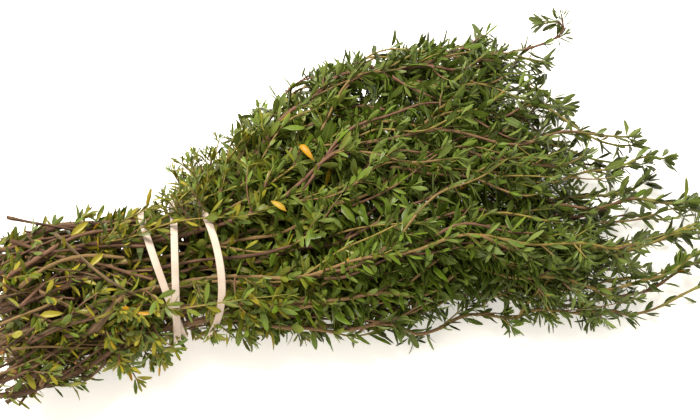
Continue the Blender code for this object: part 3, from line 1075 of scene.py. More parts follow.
@dataclass
class Sprig:
    """One sprig of the bundle: its stem, its branches and side shoots, and all their leaves.

    A span is the bounds of what is left to chance, or of a stretch of x. Rises and positions are over
    x, unless they are named for u or for the depth. drift_lengths are the lengths of a slow and a
    quick wave, nearest_tuck_at is a middle and a width, and cut_twig_room says how far out the two
    ends of a broken twig may lie. Slants are in degrees.
    """

    number: int
    u: float
    v: float
    form: BundleForm
    seat: Array
    tip_gap: float = 0.007
    stem_wander: float = 0.044
    branch_wander: float = 0.058
    twig_wander: float = 0.05
    drift_lengths: Pair = (0.11, 0.045)
    thickness: Span = (0.75, 1.15)
    stem_woodiness: Span = (0.85, 1.0)
    far_tuck: Rise = Rise(0.080, 0.125, 0.024)
    far_tuck_over_u: Rise = Rise(0.15, 0.45)
    near_tuck: Rise = Rise(0.09, 0.15, 0.008)
    near_tuck_over_u: Rise = Rise(-0.15, -0.60)
    nearest_over_u: Rise = Rise(-0.45, -0.80, 0.008)
    nearest_tuck_at: Pair = (0.030, 0.016)
    near_room: float = 1.02
    near_waist: Rise = Rise(-0.02, 0.02, 0.18)
    near_taper: Rise = Rise(0.050, 0.096, 0.24)
    far_room: float = 0.97
    far_taper: Rise = Rise(0.076, 0.122, 0.55)
    under_room: float = 0.98
    branch_count: int = 6
    more_branches_over_u: Rise = Rise(0.15, 0.50, 3.0)
    branch_starts: Span = (-0.150, 0.060)
    branch_lengths: Span = (0.060, 0.140)
    branch_ends: Span = (0.060, 0.104)
    branch_drifts: Span = (0.25, 0.70)
    branch_past_end: float = 0.004
    shortest_branch: float = 0.04
    short_branch: float = 0.05
    branch_leafless: float = 0.005
    branch_woodiness: float = 0.58
    woodier_behind: float = 2.6
    woodiness_spread: float = 0.1
    least_woodiness: float = 0.2
    shoot_chance: float = 0.40
    branch_shoot_chance: float = 0.24
    cut_shoot_chance: float = 0.30
    fewer_at_tips: Rise = Rise(0.075, 0.105, 0.60)
    last_shoot: float = 0.88
    fan_start: float = -0.085
    fan_middle: Span = (-0.02, 0.045)
    rim_end: float = 0.06
    rim_depth: float = 0.70
    upper_depth: float = 0.45
    side_limit: float = 0.30
    most_outward: float = 0.35
    floor_zone: float = 0.012
    slants: Span = (34.0, 74.0)
    shoot_lengths: Span = (0.011, 0.036)
    behind_shortest: float = 0.008
    rim_longest: float = 0.018
    shoot_forward: Span = (0.1, 0.9)
    shoot_upward: float = 0.25
    inward_share: float = 0.7
    behind_gap: float = 0.015
    shoot_woodiness: Span = (0.10, 0.50)
    cut_twig_count: int = 6
    cut_twig_starts: Span = (-0.004, 0.045)
    cut_twig_lengths: Span = (0.020, 0.062)
    cut_twig_room: Pair = (1.08, 1.02)
    cut_twig_reach: float = 0.95
    cut_twig_gap: float = 0.012
    cut_twig_woodiness: Span = (0.72, 1.0)
    cut_twig_thickness: Span = (0.32, 1.00)
    stalk_shift: Span = (-0.008, 0.006)
    stalk_twist: Span = (-2.5, 2.5)
    stalk_ends: Span = (-0.034, 0.038)
    stalk_sunk: float = 0.92
    stalk_rise: float = 0.42
    stalk_rise_length: float = 0.026
    stray_over: float = 0.60
    stray_root: Span = (0.079, 0.081)
    stray_first_turn: float = 2.0
    stray_turn: float = 198.0
    stray_length: float = 0.053
    stray_sideways: float = 0.26
    stray_upwards: float = 0.40
    stray_places: tuple[int, ...] = (13, 19, 24)
    stray_tuft_length: float = 0.0065
    tip_leafless: float = 0.004

    def __post_init__(self) -> None:
        """Read where the sprig's stem starts and where its shoot ends from the CAD nodes."""
        self.name = f"sprig_{self.number:02d}"
        self.start_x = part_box(f"{self.name}_stem")[0].x - self.seat[0]
        self.end_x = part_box(f"{self.name}_shoot")[1].x - self.seat[0] - self.tip_gap
        self.rng = np.random.default_rng(1000 + self.number)
        self.grower = LeafGrower(self.form, self.seat, self.rng)
        self.outside = float(Rise(0.20, 0.75)(np.hypot(self.u, self.v)))

    def pick(self, span: Span) -> float:
        """A number between two bounds by chance, or the bound itself where they are the same."""
        return self.rng.uniform(*span) if span[0] < span[1] else span[0]

    def line_through(self, u: Array, v: Array, x: Array) -> Array:
        """Line of a row of places.

        Far and near tips are tucked in a little, and so are the nearest stems in the middle of the fan.

        Args:
            u: places from near to far.
            v: places from bottom to top.
            x: where along the bundle.

        Returns:
            Points in the frame's own axes, shape (n, 3).
        """
        line = self.form.centre(u, v, x) + self.seat
        tuck = self.far_tuck(x) * self.far_tuck_over_u(u)
        tuck -= self.near_tuck(x) * self.near_tuck_over_u(u)
        line[:, 1] += self.nearest_over_u(u) * bell(x, *self.nearest_tuck_at) - tuck
        return line

    def wander(self, x: Array, size: float) -> Array:
        """A small random drift across the disc: a slow sine wave and a quick one half as high.

        Args:
            x: where along the bundle.
            size: the slow wave's height on the disc.

        Returns:
            The drift at each x. It nearly fades out at the band.
        """
        phase = self.rng.uniform(0.0, FULL_TURN, 2)
        stretch = self.rng.uniform(0.8, 1.3, 2)
        slow, quick = (
            np.sin(FULL_TURN * stretch[i] * x / self.drift_lengths[i] + phase[i]) for i in (0, 1)
        )
        return size * (1.0 - 0.8 * bell(x, self.form.band_x, 0.03)) * (slow + 0.5 * quick)

    def strand(
        self, kind: Kind, line: Array, woodiness: float, thickness: Span, leafless: float = 0.0
    ) -> Strand:
        """Make a strand, with a tint and a share of the usual thickness that are left to chance."""
        tint = self.rng.random()
        return Strand(kind, line, self.rng, woodiness, tint, self.pick(thickness), leafless)

    def grow_stem(self) -> Strand:
        """Main stem: from the cut end to the tip at its own place on the disc.

        Returns:
            The stem.
        """
        x = np.linspace(self.start_x, self.end_x, 110)
        u = self.u + self.wander(x, self.stem_wander)
        v = self.v + self.wander(x, self.stem_wander)
        line = self.line_through(u, v, x)
        return self.strand(Kind.STEM, line, self.pick(self.stem_woodiness), self.thickness)

    def reach_of(self, target: Array, x: float) -> Array:
        """Hold a place on the disc within the room that the bundle leaves at x.

        On the near side the room shrinks from 1.02 of the disc to 0.60 past the middle of the fan, and
        on the far side from 0.97 to 0.42 at the tips. Under the bundle it is 0.98 at most.

        Args:
            target: the place aimed at.
            x: where along the bundle.

        Returns:
            The place that is reached.
        """
        near = self.near_room - self.near_waist(x) - self.near_taper(x)
        room = near if target[0] < 0.0 else self.far_room - self.far_taper(x)
        room = min(room, self.under_room) if target[1] < -0.3 else room
        return target * min(1.0, room / max(float(np.linalg.norm(target)), 1e-6))

    def grow_branches(self) -> list[Strand]:
        """Long branches: each leaves the stem and drifts to a place of its own, as 1 - (1 - t)².

        Returns:
            The branches, more of them on the far side.
        """
        made = []
        own = np.array([self.u, self.v])
        t = np.linspace(0.0, 1.0, 60)
        moved = 1.0 - (1.0 - t) ** 2
        for _ in range(self.branch_count + int(self.more_branches_over_u(self.u))):
            start = self.pick(self.branch_starts)
            furthest = min(self.end_x + self.branch_past_end, self.pick(self.branch_ends))
            end = min(start + self.pick(self.branch_lengths), furthest)
            if end - start < self.shortest_branch:
                start = end - self.short_branch
            angle = self.rng.uniform(0.0, FULL_TURN)
            aim = own + self.pick(self.branch_drifts) * np.array([math.cos(angle), math.sin(angle)])
            target = self.reach_of(aim, end)
            x = start + (end - start) * t
            u, v = (
                own[i] + (target[i] - own[i]) * moved + self.wander(x, self.branch_wander) for i in (0, 1)
            )
            chance = self.rng.normal(0.0, self.woodiness_spread)
            woodiness = self.branch_woodiness - self.woodier_behind * start + chance
            woodiness = float(np.clip(woodiness, self.least_woodiness, 1.0))
            line = self.line_through(u, v, x)
            made.append(self.strand(Kind.BRANCH, line, woodiness, self.thickness, self.branch_leafless))
        return made

    def side_shoot(
        self,
        root: Array,
        start: Array,
        bend: Array,
        length: float,
        woodiness: float,
        kind: Kind = Kind.SHOOT,
    ) -> Strand:
        """One short shoot on the curve root + length (t start + t² bend), with t from 0 to 1."""
        t = np.linspace(0.0, 1.0, 14)[:, None]
        return self.strand(kind, root + length * (t * start + t**2 * bend), woodiness, (1.0, 1.0))

    def grow_shoots(self, parent: Strand, chance: float) -> list[Strand]:
        """Side shoots at a strand's nodes, leaving it at a slant and curving forward.

        Shoots near the table point up. Those of the near side don't point far outwards, and in the
        middle of the fan they point inwards. Those of the far side and the upper part point neither
        far outwards nor far up.

        Args:
            parent: what they grow on.
            chance: the share of its nodes that bear one in the fan.

        Returns:
            The shoots.
        """
        made = []
        point, tangent, first, second = parent.at_nodes()
        own = point - self.seat
        x, depth = own[:, 0], self.form.depth(own)
        behind, in_fan = x < self.form.band_x - self.behind_gap, x > self.fan_start
        odds = (chance + self.cut_shoot_chance * behind) * self.grower.leafiness(point)
        odds = odds * (1.0 - self.fewer_at_tips(x)) * (0.45 + 0.55 * self.outside)
        takes = self.rng.random(len(x)) < odds
        short = behind | ((depth > self.rim_depth) & in_fan & (x < self.rim_end))
        held = in_fan & (depth > self.upper_depth) | (self.u > self.side_limit)
        near = self.u < -self.side_limit
        middle = (x > self.fan_middle[0]) & (x < self.fan_middle[1])
        for index in np.flatnonzero(takes & (parent.nodes / parent.length < self.last_shoot)):
            turn = self.rng.uniform(0.0, FULL_TURN)
            slant = math.radians(self.pick(self.slants))
            outward = math.cos(turn) * first[index] + math.sin(turn) * second[index]
            if point[index][2] < self.floor_zone:
                outward[2] = abs(outward[2])
            if near and middle[index]:
                outward[1] = self.inward_share * abs(outward[1])
            if near and in_fan[index]:
                outward[1] = max(outward[1], -self.most_outward)
            if held[index]:
                outward[1:] = np.minimum(outward[1:], self.most_outward)
            start = math.cos(slant) * tangent[index] + math.sin(slant) * outward
            shortest = self.behind_shortest if behind[index] else self.shoot_lengths[0]
            longest = self.rim_longest if short[index] else self.shoot_lengths[1]
            length = self.pick((shortest, longest))
            forward = self.pick(self.shoot_forward) * tangent[index]
            forward = forward + self.shoot_upward * UP * self.rng.normal()
            woodiness = self.pick(self.shoot_woodiness)
            bend = 0.5 * (forward - 0.5 * start)
            made.append(self.side_shoot(point[index], start, bend, length, woodiness))
        return made

    def grow_cut_twigs(self) -> list[Strand]:
        """Thin broken side twigs behind the band, which cross the stems at a slant.

        Returns:
            The twigs.
        """
        made = []
        t = np.linspace(0.0, 1.0, 24)
        for _ in range(self.cut_twig_count):
            start = self.form.cut_x + self.pick(self.cut_twig_starts)
            reach = min(self.pick(self.cut_twig_lengths), self.form.band_x - self.cut_twig_gap - start)
            reach_out = self.rng.uniform(-self.cut_twig_reach, self.cut_twig_reach, (2, 2))
            ends = reach_out + np.array([self.u, self.v])
            size = np.maximum(np.linalg.norm(ends, axis=1), 1e-6)
            ends = ends * np.minimum(1.0, self.cut_twig_room / size)[:, None]
            x = start + reach * t
            u, v = (
                ends[0, i] + (ends[1, i] - ends[0, i]) * t + self.wander(x, self.twig_wander) for i in (0, 1)
            )
            woodiness, line = self.pick(self.cut_twig_woodiness), self.line_through(u, v, x)
            made.append(self.strand(Kind.TWIG, line, woodiness, self.cut_twig_thickness))
        return made

    def grow_fringes(self, stem: Strand) -> list[Strand]:
        """This sprig's short shoots that lean out of the bundle.

        Args:
            stem: what they grow on.

        Returns:
            The shoots.
        """
        made = []
        along = stem.line[:, 0] - self.seat[0]
        for fringe in FRINGES:
            if not fringe.sprigs[0] < self.u < fringe.sprigs[1]:
                continue
            count = int(fringe.count + fringe.more_far_out * self.u)
            for root in resample(stem.line, along, self.rng.uniform(*fringe.stretch, count)):
                start = unit(np.array([self.pick(span) for span in fringe.start]))
                bend = np.array([self.pick(span) for span in fringe.bend])
                length = self.pick(fringe.length)
                made.append(self.side_shoot(root, start, bend, length, fringe.woodiness, fringe.kind))
        return made

    def lay_loose_twigs(self) -> list[Strand]:
        """This sprig's loose twigs, each a curve (1-t)² a + 2t(1-t) b + t² c of its three points.

        Returns:
            The twigs.
        """
        made = []
        t = np.linspace(0.0, 1.0, 24)
        shares = np.stack([(1.0 - t) ** 2, 2.0 * t * (1.0 - t), t**2])
        for twig in LOOSE_TWIGS:
            if twig.sprig == self.number:
                x, angle, out = np.array([twig.x, np.radians(twig.angle), twig.out]) @ shares
                line = self.line_through(out * np.cos(angle), out * np.sin(angle), x)
                made.append(self.strand(Kind.TWIG, line, twig.woodiness, (twig.thickness, twig.thickness)))
        return made

    def grow_over_band(self) -> list[Strand]:
        """A leafy stalk of some of the topmost sprigs, which runs over the rubber band.

        Its place lies on the disc's own radius times 0.92 + 0.42 exp(-((x - middle) / 0.026)²), so
        that it clears the band and sinks between the stems on both sides.

        Returns:
            The stalk, or nothing for the other sprigs.
        """
        if self.number not in STALKS_OVER_BAND:
            return []
        middle = self.form.band_x + self.pick(self.stalk_shift)
        x = np.linspace(middle + self.stalk_ends[0], middle + self.stalk_ends[1], 40)
        radius = self.stalk_sunk + self.stalk_rise * bell(x, middle, self.stalk_rise_length)
        turn = math.radians(STALKS_OVER_BAND[self.number]) + self.pick(self.stalk_twist) * (x - middle)
        line = self.line_through(radius * np.cos(turn), radius * np.sin(turn), x)
        return [Strand(Kind.SHOOT, line, self.rng, 0.25, tint=0.9, leafless=self.tip_leafless)]

    def grow_stray_tip(self, stem: Strand) -> list[Strand]:
        """One tip that arches up and back, clear of the fan, from the highest sprig of the far side.

        The direction turns from 2° to 200° above the bundle's own as t to the power 2.3. Three
        tufts stand on it.

        Args:
            stem: what it grows on.

        Returns:
            The tip and its tufts, or nothing for the other sprigs.
        """
        if self.u < self.stray_over or self.v < self.stray_over:
            return []
        spot = self.rng.uniform(*self.stray_root, 1)
        root = resample(stem.line, stem.line[:, 0] - self.seat[0], spot)[0]
        t = np.linspace(0.0, 1.0, 30)
        turn = np.radians(self.stray_first_turn + self.stray_turn * t**2.3)
        aside, upwards = self.stray_sideways * np.sin(turn), self.stray_upwards * np.sin(turn)
        steps = np.stack([np.cos(turn), aside, upwards], axis=-1)
        line = root + self.stray_length * np.cumsum(steps, axis=0) / len(t)
        made = [Strand(Kind.BRANCH, line, self.rng, 0.6, tint=0.3, leafless=self.tip_leafless)]
        for place in self.stray_places:
            ahead = unit(line[place + 1] - line[place])
            start = unit(ahead + np.array([0.25, 0.2, 0.5]) * self.rng.uniform(-1.0, 1.0, 3))
            tuft = self.side_shoot(line[place], start, 0.1 * UP, self.stray_tuft_length, 0.3, Kind.TUFT)
            made.append(tuft)
        return made

    def hang_golden_leaves(self, stem: Strand) -> None:
        """Add this sprig's golden leaves, lifted to the top of the foliage round its stem.

        Args:
            stem: what they are lifted from.
        """
        for leaf in GOLDEN_LEAVES:
            if leaf.sprig == self.number:
                spot = resample(stem.line, stem.line[:, 0] - self.seat[0], leaf.x) + leaf.lift * UP
                heading = [self.rng.uniform(-0.8, 1.0), self.rng.uniform(-1.0, 0.4), 0.35]
                form = [leaf.length, leaf.slenderness * leaf.length, leaf.arch, leaf.fold]
                face, life = unit(np.array([0.1, -0.5, 1.0])), [leaf.yellowing, leaf.tint, 0.0]
                rows = (spot, unit(np.array(heading)), face, form, life)
                self.grower.broad.add(*(np.array([row]) for row in rows))

    def grow(self) -> list[tuple[Strand, float]]:
        """Grow every strand of the sprig.

        Returns:
            Each strand, and how much of the usual foliage it bears.
        """
        stem = self.grow_stem()
        branches = self.grow_branches()
        strands = [stem, *branches, *self.grow_shoots(stem, self.shoot_chance)]
        for branch in branches:
            strands += self.grow_shoots(branch, self.branch_shoot_chance)
        strands += self.grow_cut_twigs() + self.grow_fringes(stem) + self.grow_stray_tip(stem)
        usual = 0.50 + 0.50 * self.outside
        dressed = [(strand, DENSITIES.get(strand.kind, usual)) for strand in strands]
        dressed += [(strand, STALK_DENSITY) for strand in self.grow_over_band()]
        dressed += [(strand, 0.0) for strand in self.lay_loose_twigs()]
        self.hang_golden_leaves(stem)
        return dressed

    def build(self, bark: bpy.types.Material, blade: bpy.types.Material) -> None:
        """Make the sprig's two pieces.

        Args:
            bark: the finish of stems.
            blade: the finish of leaves.
        """
        wood, leaves, grower = Surface(), Surface(), self.grower
        strands = self.grow()
        for strand, density in strands:
            strand.build_into(wood)
            if density > 0.0:
                grower.dress(strand, density)
            if strand.kind in (Kind.STEM, Kind.BRANCH):
                grower.fill(strand)
        count = sum(batch.build_into(leaves) for batch in (grower.broad, grower.narrow, grower.inner))
        log.info("%s: %d strands, %d leaves", self.name, len(strands), count)
        finish_piece(wood.to_object(f"{self.name}_wood"), bark, f"{self.name}_stem")
        finish_piece(leaves.to_object(f"{self.name}_leaves"), blade, f"{self.name}_shoot")


@dataclass
class BareTwig:
    """One leafless twig among the stems."""

    number: int
    u: float
    v: float
    form: BundleForm
    seat: Array

    def build(self, bark: bpy.types.Material) -> None:
        """Make the twig's piece, from its CAD node's one end to the other.

        Args:
            bark: the finish of stems.
        """
        node = f"bare_twig_{self.number}"
        low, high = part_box(node)
        rng = np.random.default_rng(2000 + self.number)
        x = np.linspace(low.x - self.seat[0], high.x - self.seat[0], 50)
        line = self.form.centre(self.u, self.v, x) + self.seat
        surface = Surface()
        Strand(Kind.TWIG, line, rng, woodiness=1.0, tint=rng.random()).build_into(surface)
        finish_piece(surface.to_object(f"{node}_bark"), bark, node)


@dataclass
class RubberBand:
    """The flat rubber band in its three turns."""

    route: BandForm
    form: BundleForm
    seat: Array
    steps_per_turn: int = 96
    section_corners: int = 20
    squareness: float = 0.34
    turn_length: float = 0.16
    small: float = 1e-4

    def build(self, rubber: bpy.types.Material) -> None:
        """Carry the band's flat rounded section along its route.

        The section is a superellipse: width/2 |cos a|^p across and thickness/2 |sin a|^p through, with
        the signs of the cosine and sine. Across follows the route's middle surface, and through its
        normal, the cross product of the surface's two directions.

        Args:
            rubber: the finish of the band.
        """
        steps = self.route.turns * self.steps_per_turn
        angle = FULL_TURN * np.arange(self.section_corners) / self.section_corners
        edge, through = (
            0.5 * np.sign(wave) * np.abs(wave) ** self.squareness for wave in (np.cos(angle), np.sin(angle))
        )
        share, edge = np.meshgrid(np.arange(steps) / steps, edge, indexing="ij")
        middle = self.route.surface(self.form, share, edge)
        ahead = self.route.surface(self.form, share + self.small, edge)
        wide = self.route.surface(self.form, share, edge + self.small)
        normal = unit(np.cross(wide - middle, ahead - middle))
        points = middle + normal * (self.route.thickness * through)[:, None] + self.seat
        lengths = share * self.route.turns * self.turn_length * 100.0
        strip = np.stack([lengths, 2.0 * edge, np.tile(np.sign(through), (steps, 1))], axis=-1)
        quads = ring_quads(steps, self.section_corners, closed=True)[:, [0, 3, 2, 1]]
        surface = Surface()
        surface.add(points.reshape(-1, 3), quads, NO_TRIANGLES, {"strip": strip.reshape(-1, 3)})
        finish_piece(surface.to_object("rubber_band_strip"), rubber, "rubber_band")


class NodeSketch:
    """A small helper that adds and joins shader nodes in one node tree."""

    def __init__(self, tree: bpy.types.NodeTree) -> None:
        """Start on an empty tree."""
        self.tree = tree
        tree.nodes.clear()

    def add(self, kind: str, **values: object) -> bpy.types.Node:
        """Add a node.

        Args:
            kind: the node's type name.
            values: its settings and inputs, as fill takes them.

        Returns:
            The new node.
        """
        node = self.tree.nodes.new(kind)
        self.fill(node, **values)
        return node

    def fill(self, node: bpy.types.Node, **values: object) -> None:
        """Give a node its settings and inputs.

        Args:
            node: the node.
            values: its settings, in lower case, and its inputs, which start with a capital and have
                an underscore for each space.
        """
        for name, value in values.items():
            if name.islower():
                setattr(node, name, value)
            else:
                self.put(node.inputs[name.replace("_", " ")], value)

    def put(self, socket: Socket, value: object) -> None:
        """Link an input to a socket, or set the input's own value.

        Args:
            socket: the input.
            value: a socket, a number or vector, or a colour code.
        """
        if isinstance(value, Socket):
            self.tree.links.new(value, socket)
        else:
            socket.default_value = linear_colour(value) if isinstance(value, str) else value

    def attribute(self, name: str) -> tuple[Socket, ...]:
        """The three numbers of a mesh attribute, and the whole vector."""
        vector = self.add("ShaderNodeAttribute", attribute_name=name).outputs["Vector"]
        return (*self.add("ShaderNodeSeparateXYZ", Vector=vector).outputs, vector)

    def place(self) -> Socket:
        """The place on the object."""
        return self.add("ShaderNodeTexCoord").outputs["Object"]

    def math(self, operation: str, *values: object, clamp: bool = False) -> Socket:
        """Work out one step with a Math node.

        Args:
            operation: what it does.
            values: the sockets or numbers that it works on.
            clamp: whether the result is held between 0 and 1.

        Returns:
            The result.
        """
        node = self.add("ShaderNodeMath", operation=operation, use_clamp=clamp)
        for socket, value in zip(node.inputs, values):
            self.put(socket, value)
        return node.outputs[0]

    def times(self, first: object, second: object) -> Socket:
        """Product of two numbers."""
        return self.math("MULTIPLY", first, second)

    def times_plus(self, first: object, second: object, third: object) -> Socket:
        """Product of two numbers, plus a third."""
        return self.math("MULTIPLY_ADD", first, second, third)

    def ramp(self, value: Socket, low: float, high: float) -> Socket:
        """A smooth rise from 0 at low to 1 at high."""
        bounds = {"From_Min": low, "From_Max": high, "interpolation_type": "SMOOTHSTEP"}
        return self.add("ShaderNodeMapRange", Value=value, **bounds).outputs["Result"]

    def mix(self, factor: object, first: object, second: object) -> Socket:
        """Mix two colours.

        Args:
            factor: the share of the second one.
            first: a colour or its code.
            second: a colour or its code.

        Returns:
            The mixed colour.
        """
        node = self.add("ShaderNodeMix", data_type="RGBA", Factor=factor)
        self.put(node.inputs[6], first)
        self.put(node.inputs[7], second)
        return node.outputs[2]

    def scaled(self, vector: Socket, scale: Triple) -> Socket:
        """A vector stretched along its axes."""
        return self.add("ShaderNodeMapping", Vector=vector, Scale=scale).outputs["Vector"]

    def mottle(self, vector: Socket, scale: float, contrast: float) -> tuple[Socket, Socket]:
        """Place the shared mottle group.

        Args:
            vector: where on the surface.
            scale: how fine the patches are.
            contrast: how strong they are.

        Returns:
            Its Patches and its Grain.
        """
        group = self.add("ShaderNodeGroup", node_tree=mottle_group())
        self.fill(group, Vector=vector, Scale=scale, Contrast=contrast)
        return group.outputs["Patches"], group.outputs["Grain"]


def mottle_group() -> bpy.types.NodeTree:
    """Build the shared group that breaks a surface into soft patches and fine grain.

    Returns:
        A node group with the inputs Vector, Scale and Contrast, and the outputs Patches and Grain,
        both from 0 to 1. Patches is broad noise and Grain noise five times finer.
    """
    group = bpy.data.node_groups.get("mottle")
    if group is not None:
        return group
    group = bpy.data.node_groups.new("mottle", "ShaderNodeTree")
    for name in ("Vector", "Scale", "Contrast"):
        kind = "NodeSocketVector" if name == "Vector" else "NodeSocketFloat"
        group.interface.new_socket(name, in_out="INPUT", socket_type=kind)
    for name in ("Patches", "Grain"):
        group.interface.new_socket(name, in_out="OUTPUT", socket_type="NodeSocketFloat")
    sketch = NodeSketch(group)
    vector, scale, contrast = list(sketch.add("NodeGroupInput").outputs)[:3]
    result = sketch.add("NodeGroupOutput")
    for name, finer, detail in (("Patches", 1.0, 2.0), ("Grain", 5.0, 3.0)):
        fine = sketch.times(scale, finer)
        noise = sketch.add("ShaderNodeTexNoise", Vector=vector, Scale=fine, Detail=detail)
        stretched = sketch.times(sketch.math("SUBTRACT", noise.outputs[0], 0.5), contrast)
        sketch.put(result.inputs[name], sketch.math("ADD", stretched, 0.5, clamp=True))
    return group


@dataclass(frozen=True)
class Finish:
    """What all finishes share: a material with one Principled shader, its gloss and its relief."""

    specular: float = 0.5
    relief_depth: float = 0.0001
    relief_strength: float = 0.5

    def start(self, name: str) -> tuple[bpy.types.Material, NodeSketch, bpy.types.Node]:
        """Make a material with a Principled shader joined to its output.

        Args:
            name: the material's name.

        Returns:
            The material, the helper on its tree, and the shader.
        """
        material = bpy.data.materials.new(name)
        material.use_nodes = True
        sketch = NodeSketch(material.node_tree)
        shader = sketch.add("ShaderNodeBsdfPrincipled", Specular_IOR_Level=self.specular)
        sketch.add("ShaderNodeOutputMaterial", Surface=shader.outputs[0])
        return material, sketch, shader

    def close(
        self, sketch: NodeSketch, shader: bpy.types.Node, colour: Socket, rough: Socket, relief: Socket
    ) -> None:
        """Join a colour, a roughness and a bump to the shader.

        Args:
            sketch: the helper on the material's tree.
            shader: its Principled shader.
            colour: the base colour.
            rough: the roughness.
            relief: the height that the bump is made from.
        """
        depth, strength = self.relief_depth, self.relief_strength
        bump = sketch.add("ShaderNodeBump", Height=relief, Distance=depth, Strength=strength)
        sketch.fill(shader, Base_Color=colour, Roughness=rough, Normal=bump.outputs[0])


@dataclass(frozen=True)
class LeafFinish(Finish):
    """Thyme leaf: deep green above, grey-green below, pale midrib and margins, and yellow when old.

    The grey tone is partly painted sheen, and the pale margins are partly a painted rim highlight.
    """

    specular: float = 0.28
    relief_depth: float = 0.00012
    deep: str = "1a2504"
    fresh: str = "607b13"
    # Grey-green that stands partly for the leaves' own grey tone and partly for painted sheen.
    grey: str = "707b43"
    # Pale colour of the midrib and the margins; on the margins it is partly a painted rim highlight.
    pale_vein_and_rim_light: str = "8d9a42"
    underside: str = "64712e"
    yellow: str = "8e8322"
    golden: str = "ab7c0c"
    dry: str = "3a3420"
    tip_brown: str = "574820"

    def make(self) -> bpy.types.Material:
        """Build the leaf material: green by tint, greyed in part as painted sheen, veined, with
        margins paled in part as a painted rim highlight, then yellowed and browned with age.

        Returns:
            The material.
        """
        material, sketch, shader = self.start("thyme_leaf_blade")
        mix, ramp, times, times_plus = sketch.mix, sketch.ramp, sketch.times, sketch.times_plus
        across, along, under, _ = sketch.attribute("blade")
        age, tint, grey_and_sheen, _ = sketch.attribute("life")
        yellowing = sketch.math("MINIMUM", age, 1.0)
        patches, grain = sketch.mottle(sketch.place(), 420.0, 1.6)
        lean = times_plus(patches, 0.35, times(tint, 0.90))
        green = mix(sketch.math("SUBTRACT", lean, 0.12, clamp=True), self.deep, self.fresh)
        # Greyed by the grey tone and patches: partly own grey-green, partly painted sheen.
        green = mix(times(grey_and_sheen, times_plus(patches, 0.4, 0.3)), green, self.grey)
        aside = sketch.math("ABSOLUTE", across)
        middle = sketch.math("SUBTRACT", 1.0, ramp(aside, 0.0, 0.22))
        vein = times(middle, sketch.math("SUBTRACT", 1.0, times(along, 0.8)))
        # Paler midrib, and paler margins that are partly the leaf's own pale margin and partly a painted rim
        # highlight.
        lines = times_plus(ramp(aside, 0.70, 1.0), 0.30, times(vein, 0.45))
        green = mix(lines, green, self.pale_vein_and_rim_light)
        below = ramp(under, 0.40, 0.70)
        green = mix(times(below, 0.75), green, self.underside)
        sick = times_plus(grain, 0.35, times(yellowing, 1.25))
        old = mix(ramp(yellowing, 0.75, 1.0), self.yellow, self.golden)
        colour = mix(ramp(sick, 0.30, 1.15), green, old)
        browned = times(ramp(along, 0.80, 1.0), ramp(yellowing, 0.2, 0.8))
        colour = mix(times(browned, 0.6), colour, self.tip_brown)
        colour = mix(ramp(age, 1.0, 1.9), colour, self.dry)
        rough = times_plus(grain, 0.18, times_plus(below, 0.18, 0.30))
        relief = times_plus(vein, -0.8, times(grain, 0.5))
        self.close(sketch, shader, colour, rough, relief)
        return material


@dataclass(frozen=True)
class WoodFinish(Finish):
    """Thyme stem: purple-brown fibrous bark, then tan and golden, and green near the tip."""

    specular: float = 0.16
    relief_depth: float = 0.00025
    relief_strength: float = 0.7
    old: str = "35251c"
    old_light: str = "6e5140"
    weathered: str = "8e7a58"
    tan: str = "8e724b"
    gold: str = "8c7b3f"
    pink: str = "785846"
    green: str = "7a8436"
    cut_wood: str = "a0723f"
    cut_rim: str = "5a3720"

    def make(self) -> bpy.types.Material:
        """Build the stem material: bark by age and tint, streaked along its fibres, and pale cut ends.

        Returns:
            The material.
        """
        material, sketch, shader = self.start("thyme_stem_bark")
        mix, ramp, times_plus = sketch.mix, sketch.ramp, sketch.times_plus
        youth, tint, _, _ = sketch.attribute("bark")
        fibre = sketch.attribute("fibre")[3]
        cut = sketch.add("ShaderNodeAttribute", attribute_name="cut").outputs["Fac"]
        streaks, strands = sketch.mottle(sketch.scaled(fibre, (1.0, 1.0, 0.16)), 2.2, 2.2)
        knots, _ = sketch.mottle(fibre, 0.9, 2.0)
        old = mix(streaks, self.old, mix(ramp(tint, 0.50, 0.90), self.old_light, self.weathered))
        old = mix(sketch.times(ramp(knots, 0.55, 0.9), 0.6), old, self.tan)
        warm = mix(ramp(tint, 0.35, 0.75), self.pink, self.tan)
        gold = mix(ramp(tint, 0.25, 0.85), self.pink, self.gold)
        wavering = times_plus(knots, 0.16, sketch.math("SUBTRACT", youth, 0.08))
        colour = mix(ramp(wavering, 0.06, 0.34), old, warm)
        colour = mix(ramp(wavering, 0.42, 0.72), colour, gold)
        colour = mix(ramp(wavering, 0.86, 1.05), colour, self.green)
        shade = times_plus(strands, 0.5, 0.72)
        shaded = sketch.add("ShaderNodeHueSaturation", Color=colour, Value=shade)
        across = sketch.scaled(fibre, (1.0, 1.0, 0.0))
        radial = sketch.add("ShaderNodeVectorMath", operation="LENGTH", Vector=across)
        core = mix(ramp(radial.outputs["Value"], 0.55, 0.95), self.cut_wood, self.cut_rim)
        colour = mix(cut, shaded.outputs[0], core)
        woody = sketch.math("SUBTRACT", 1.1, youth, clamp=True)
        relief = sketch.times(sketch.math("ADD", streaks, strands), woody)
        self.close(sketch, shader, colour, times_plus(strands, 0.25, 0.50), relief)
        return material


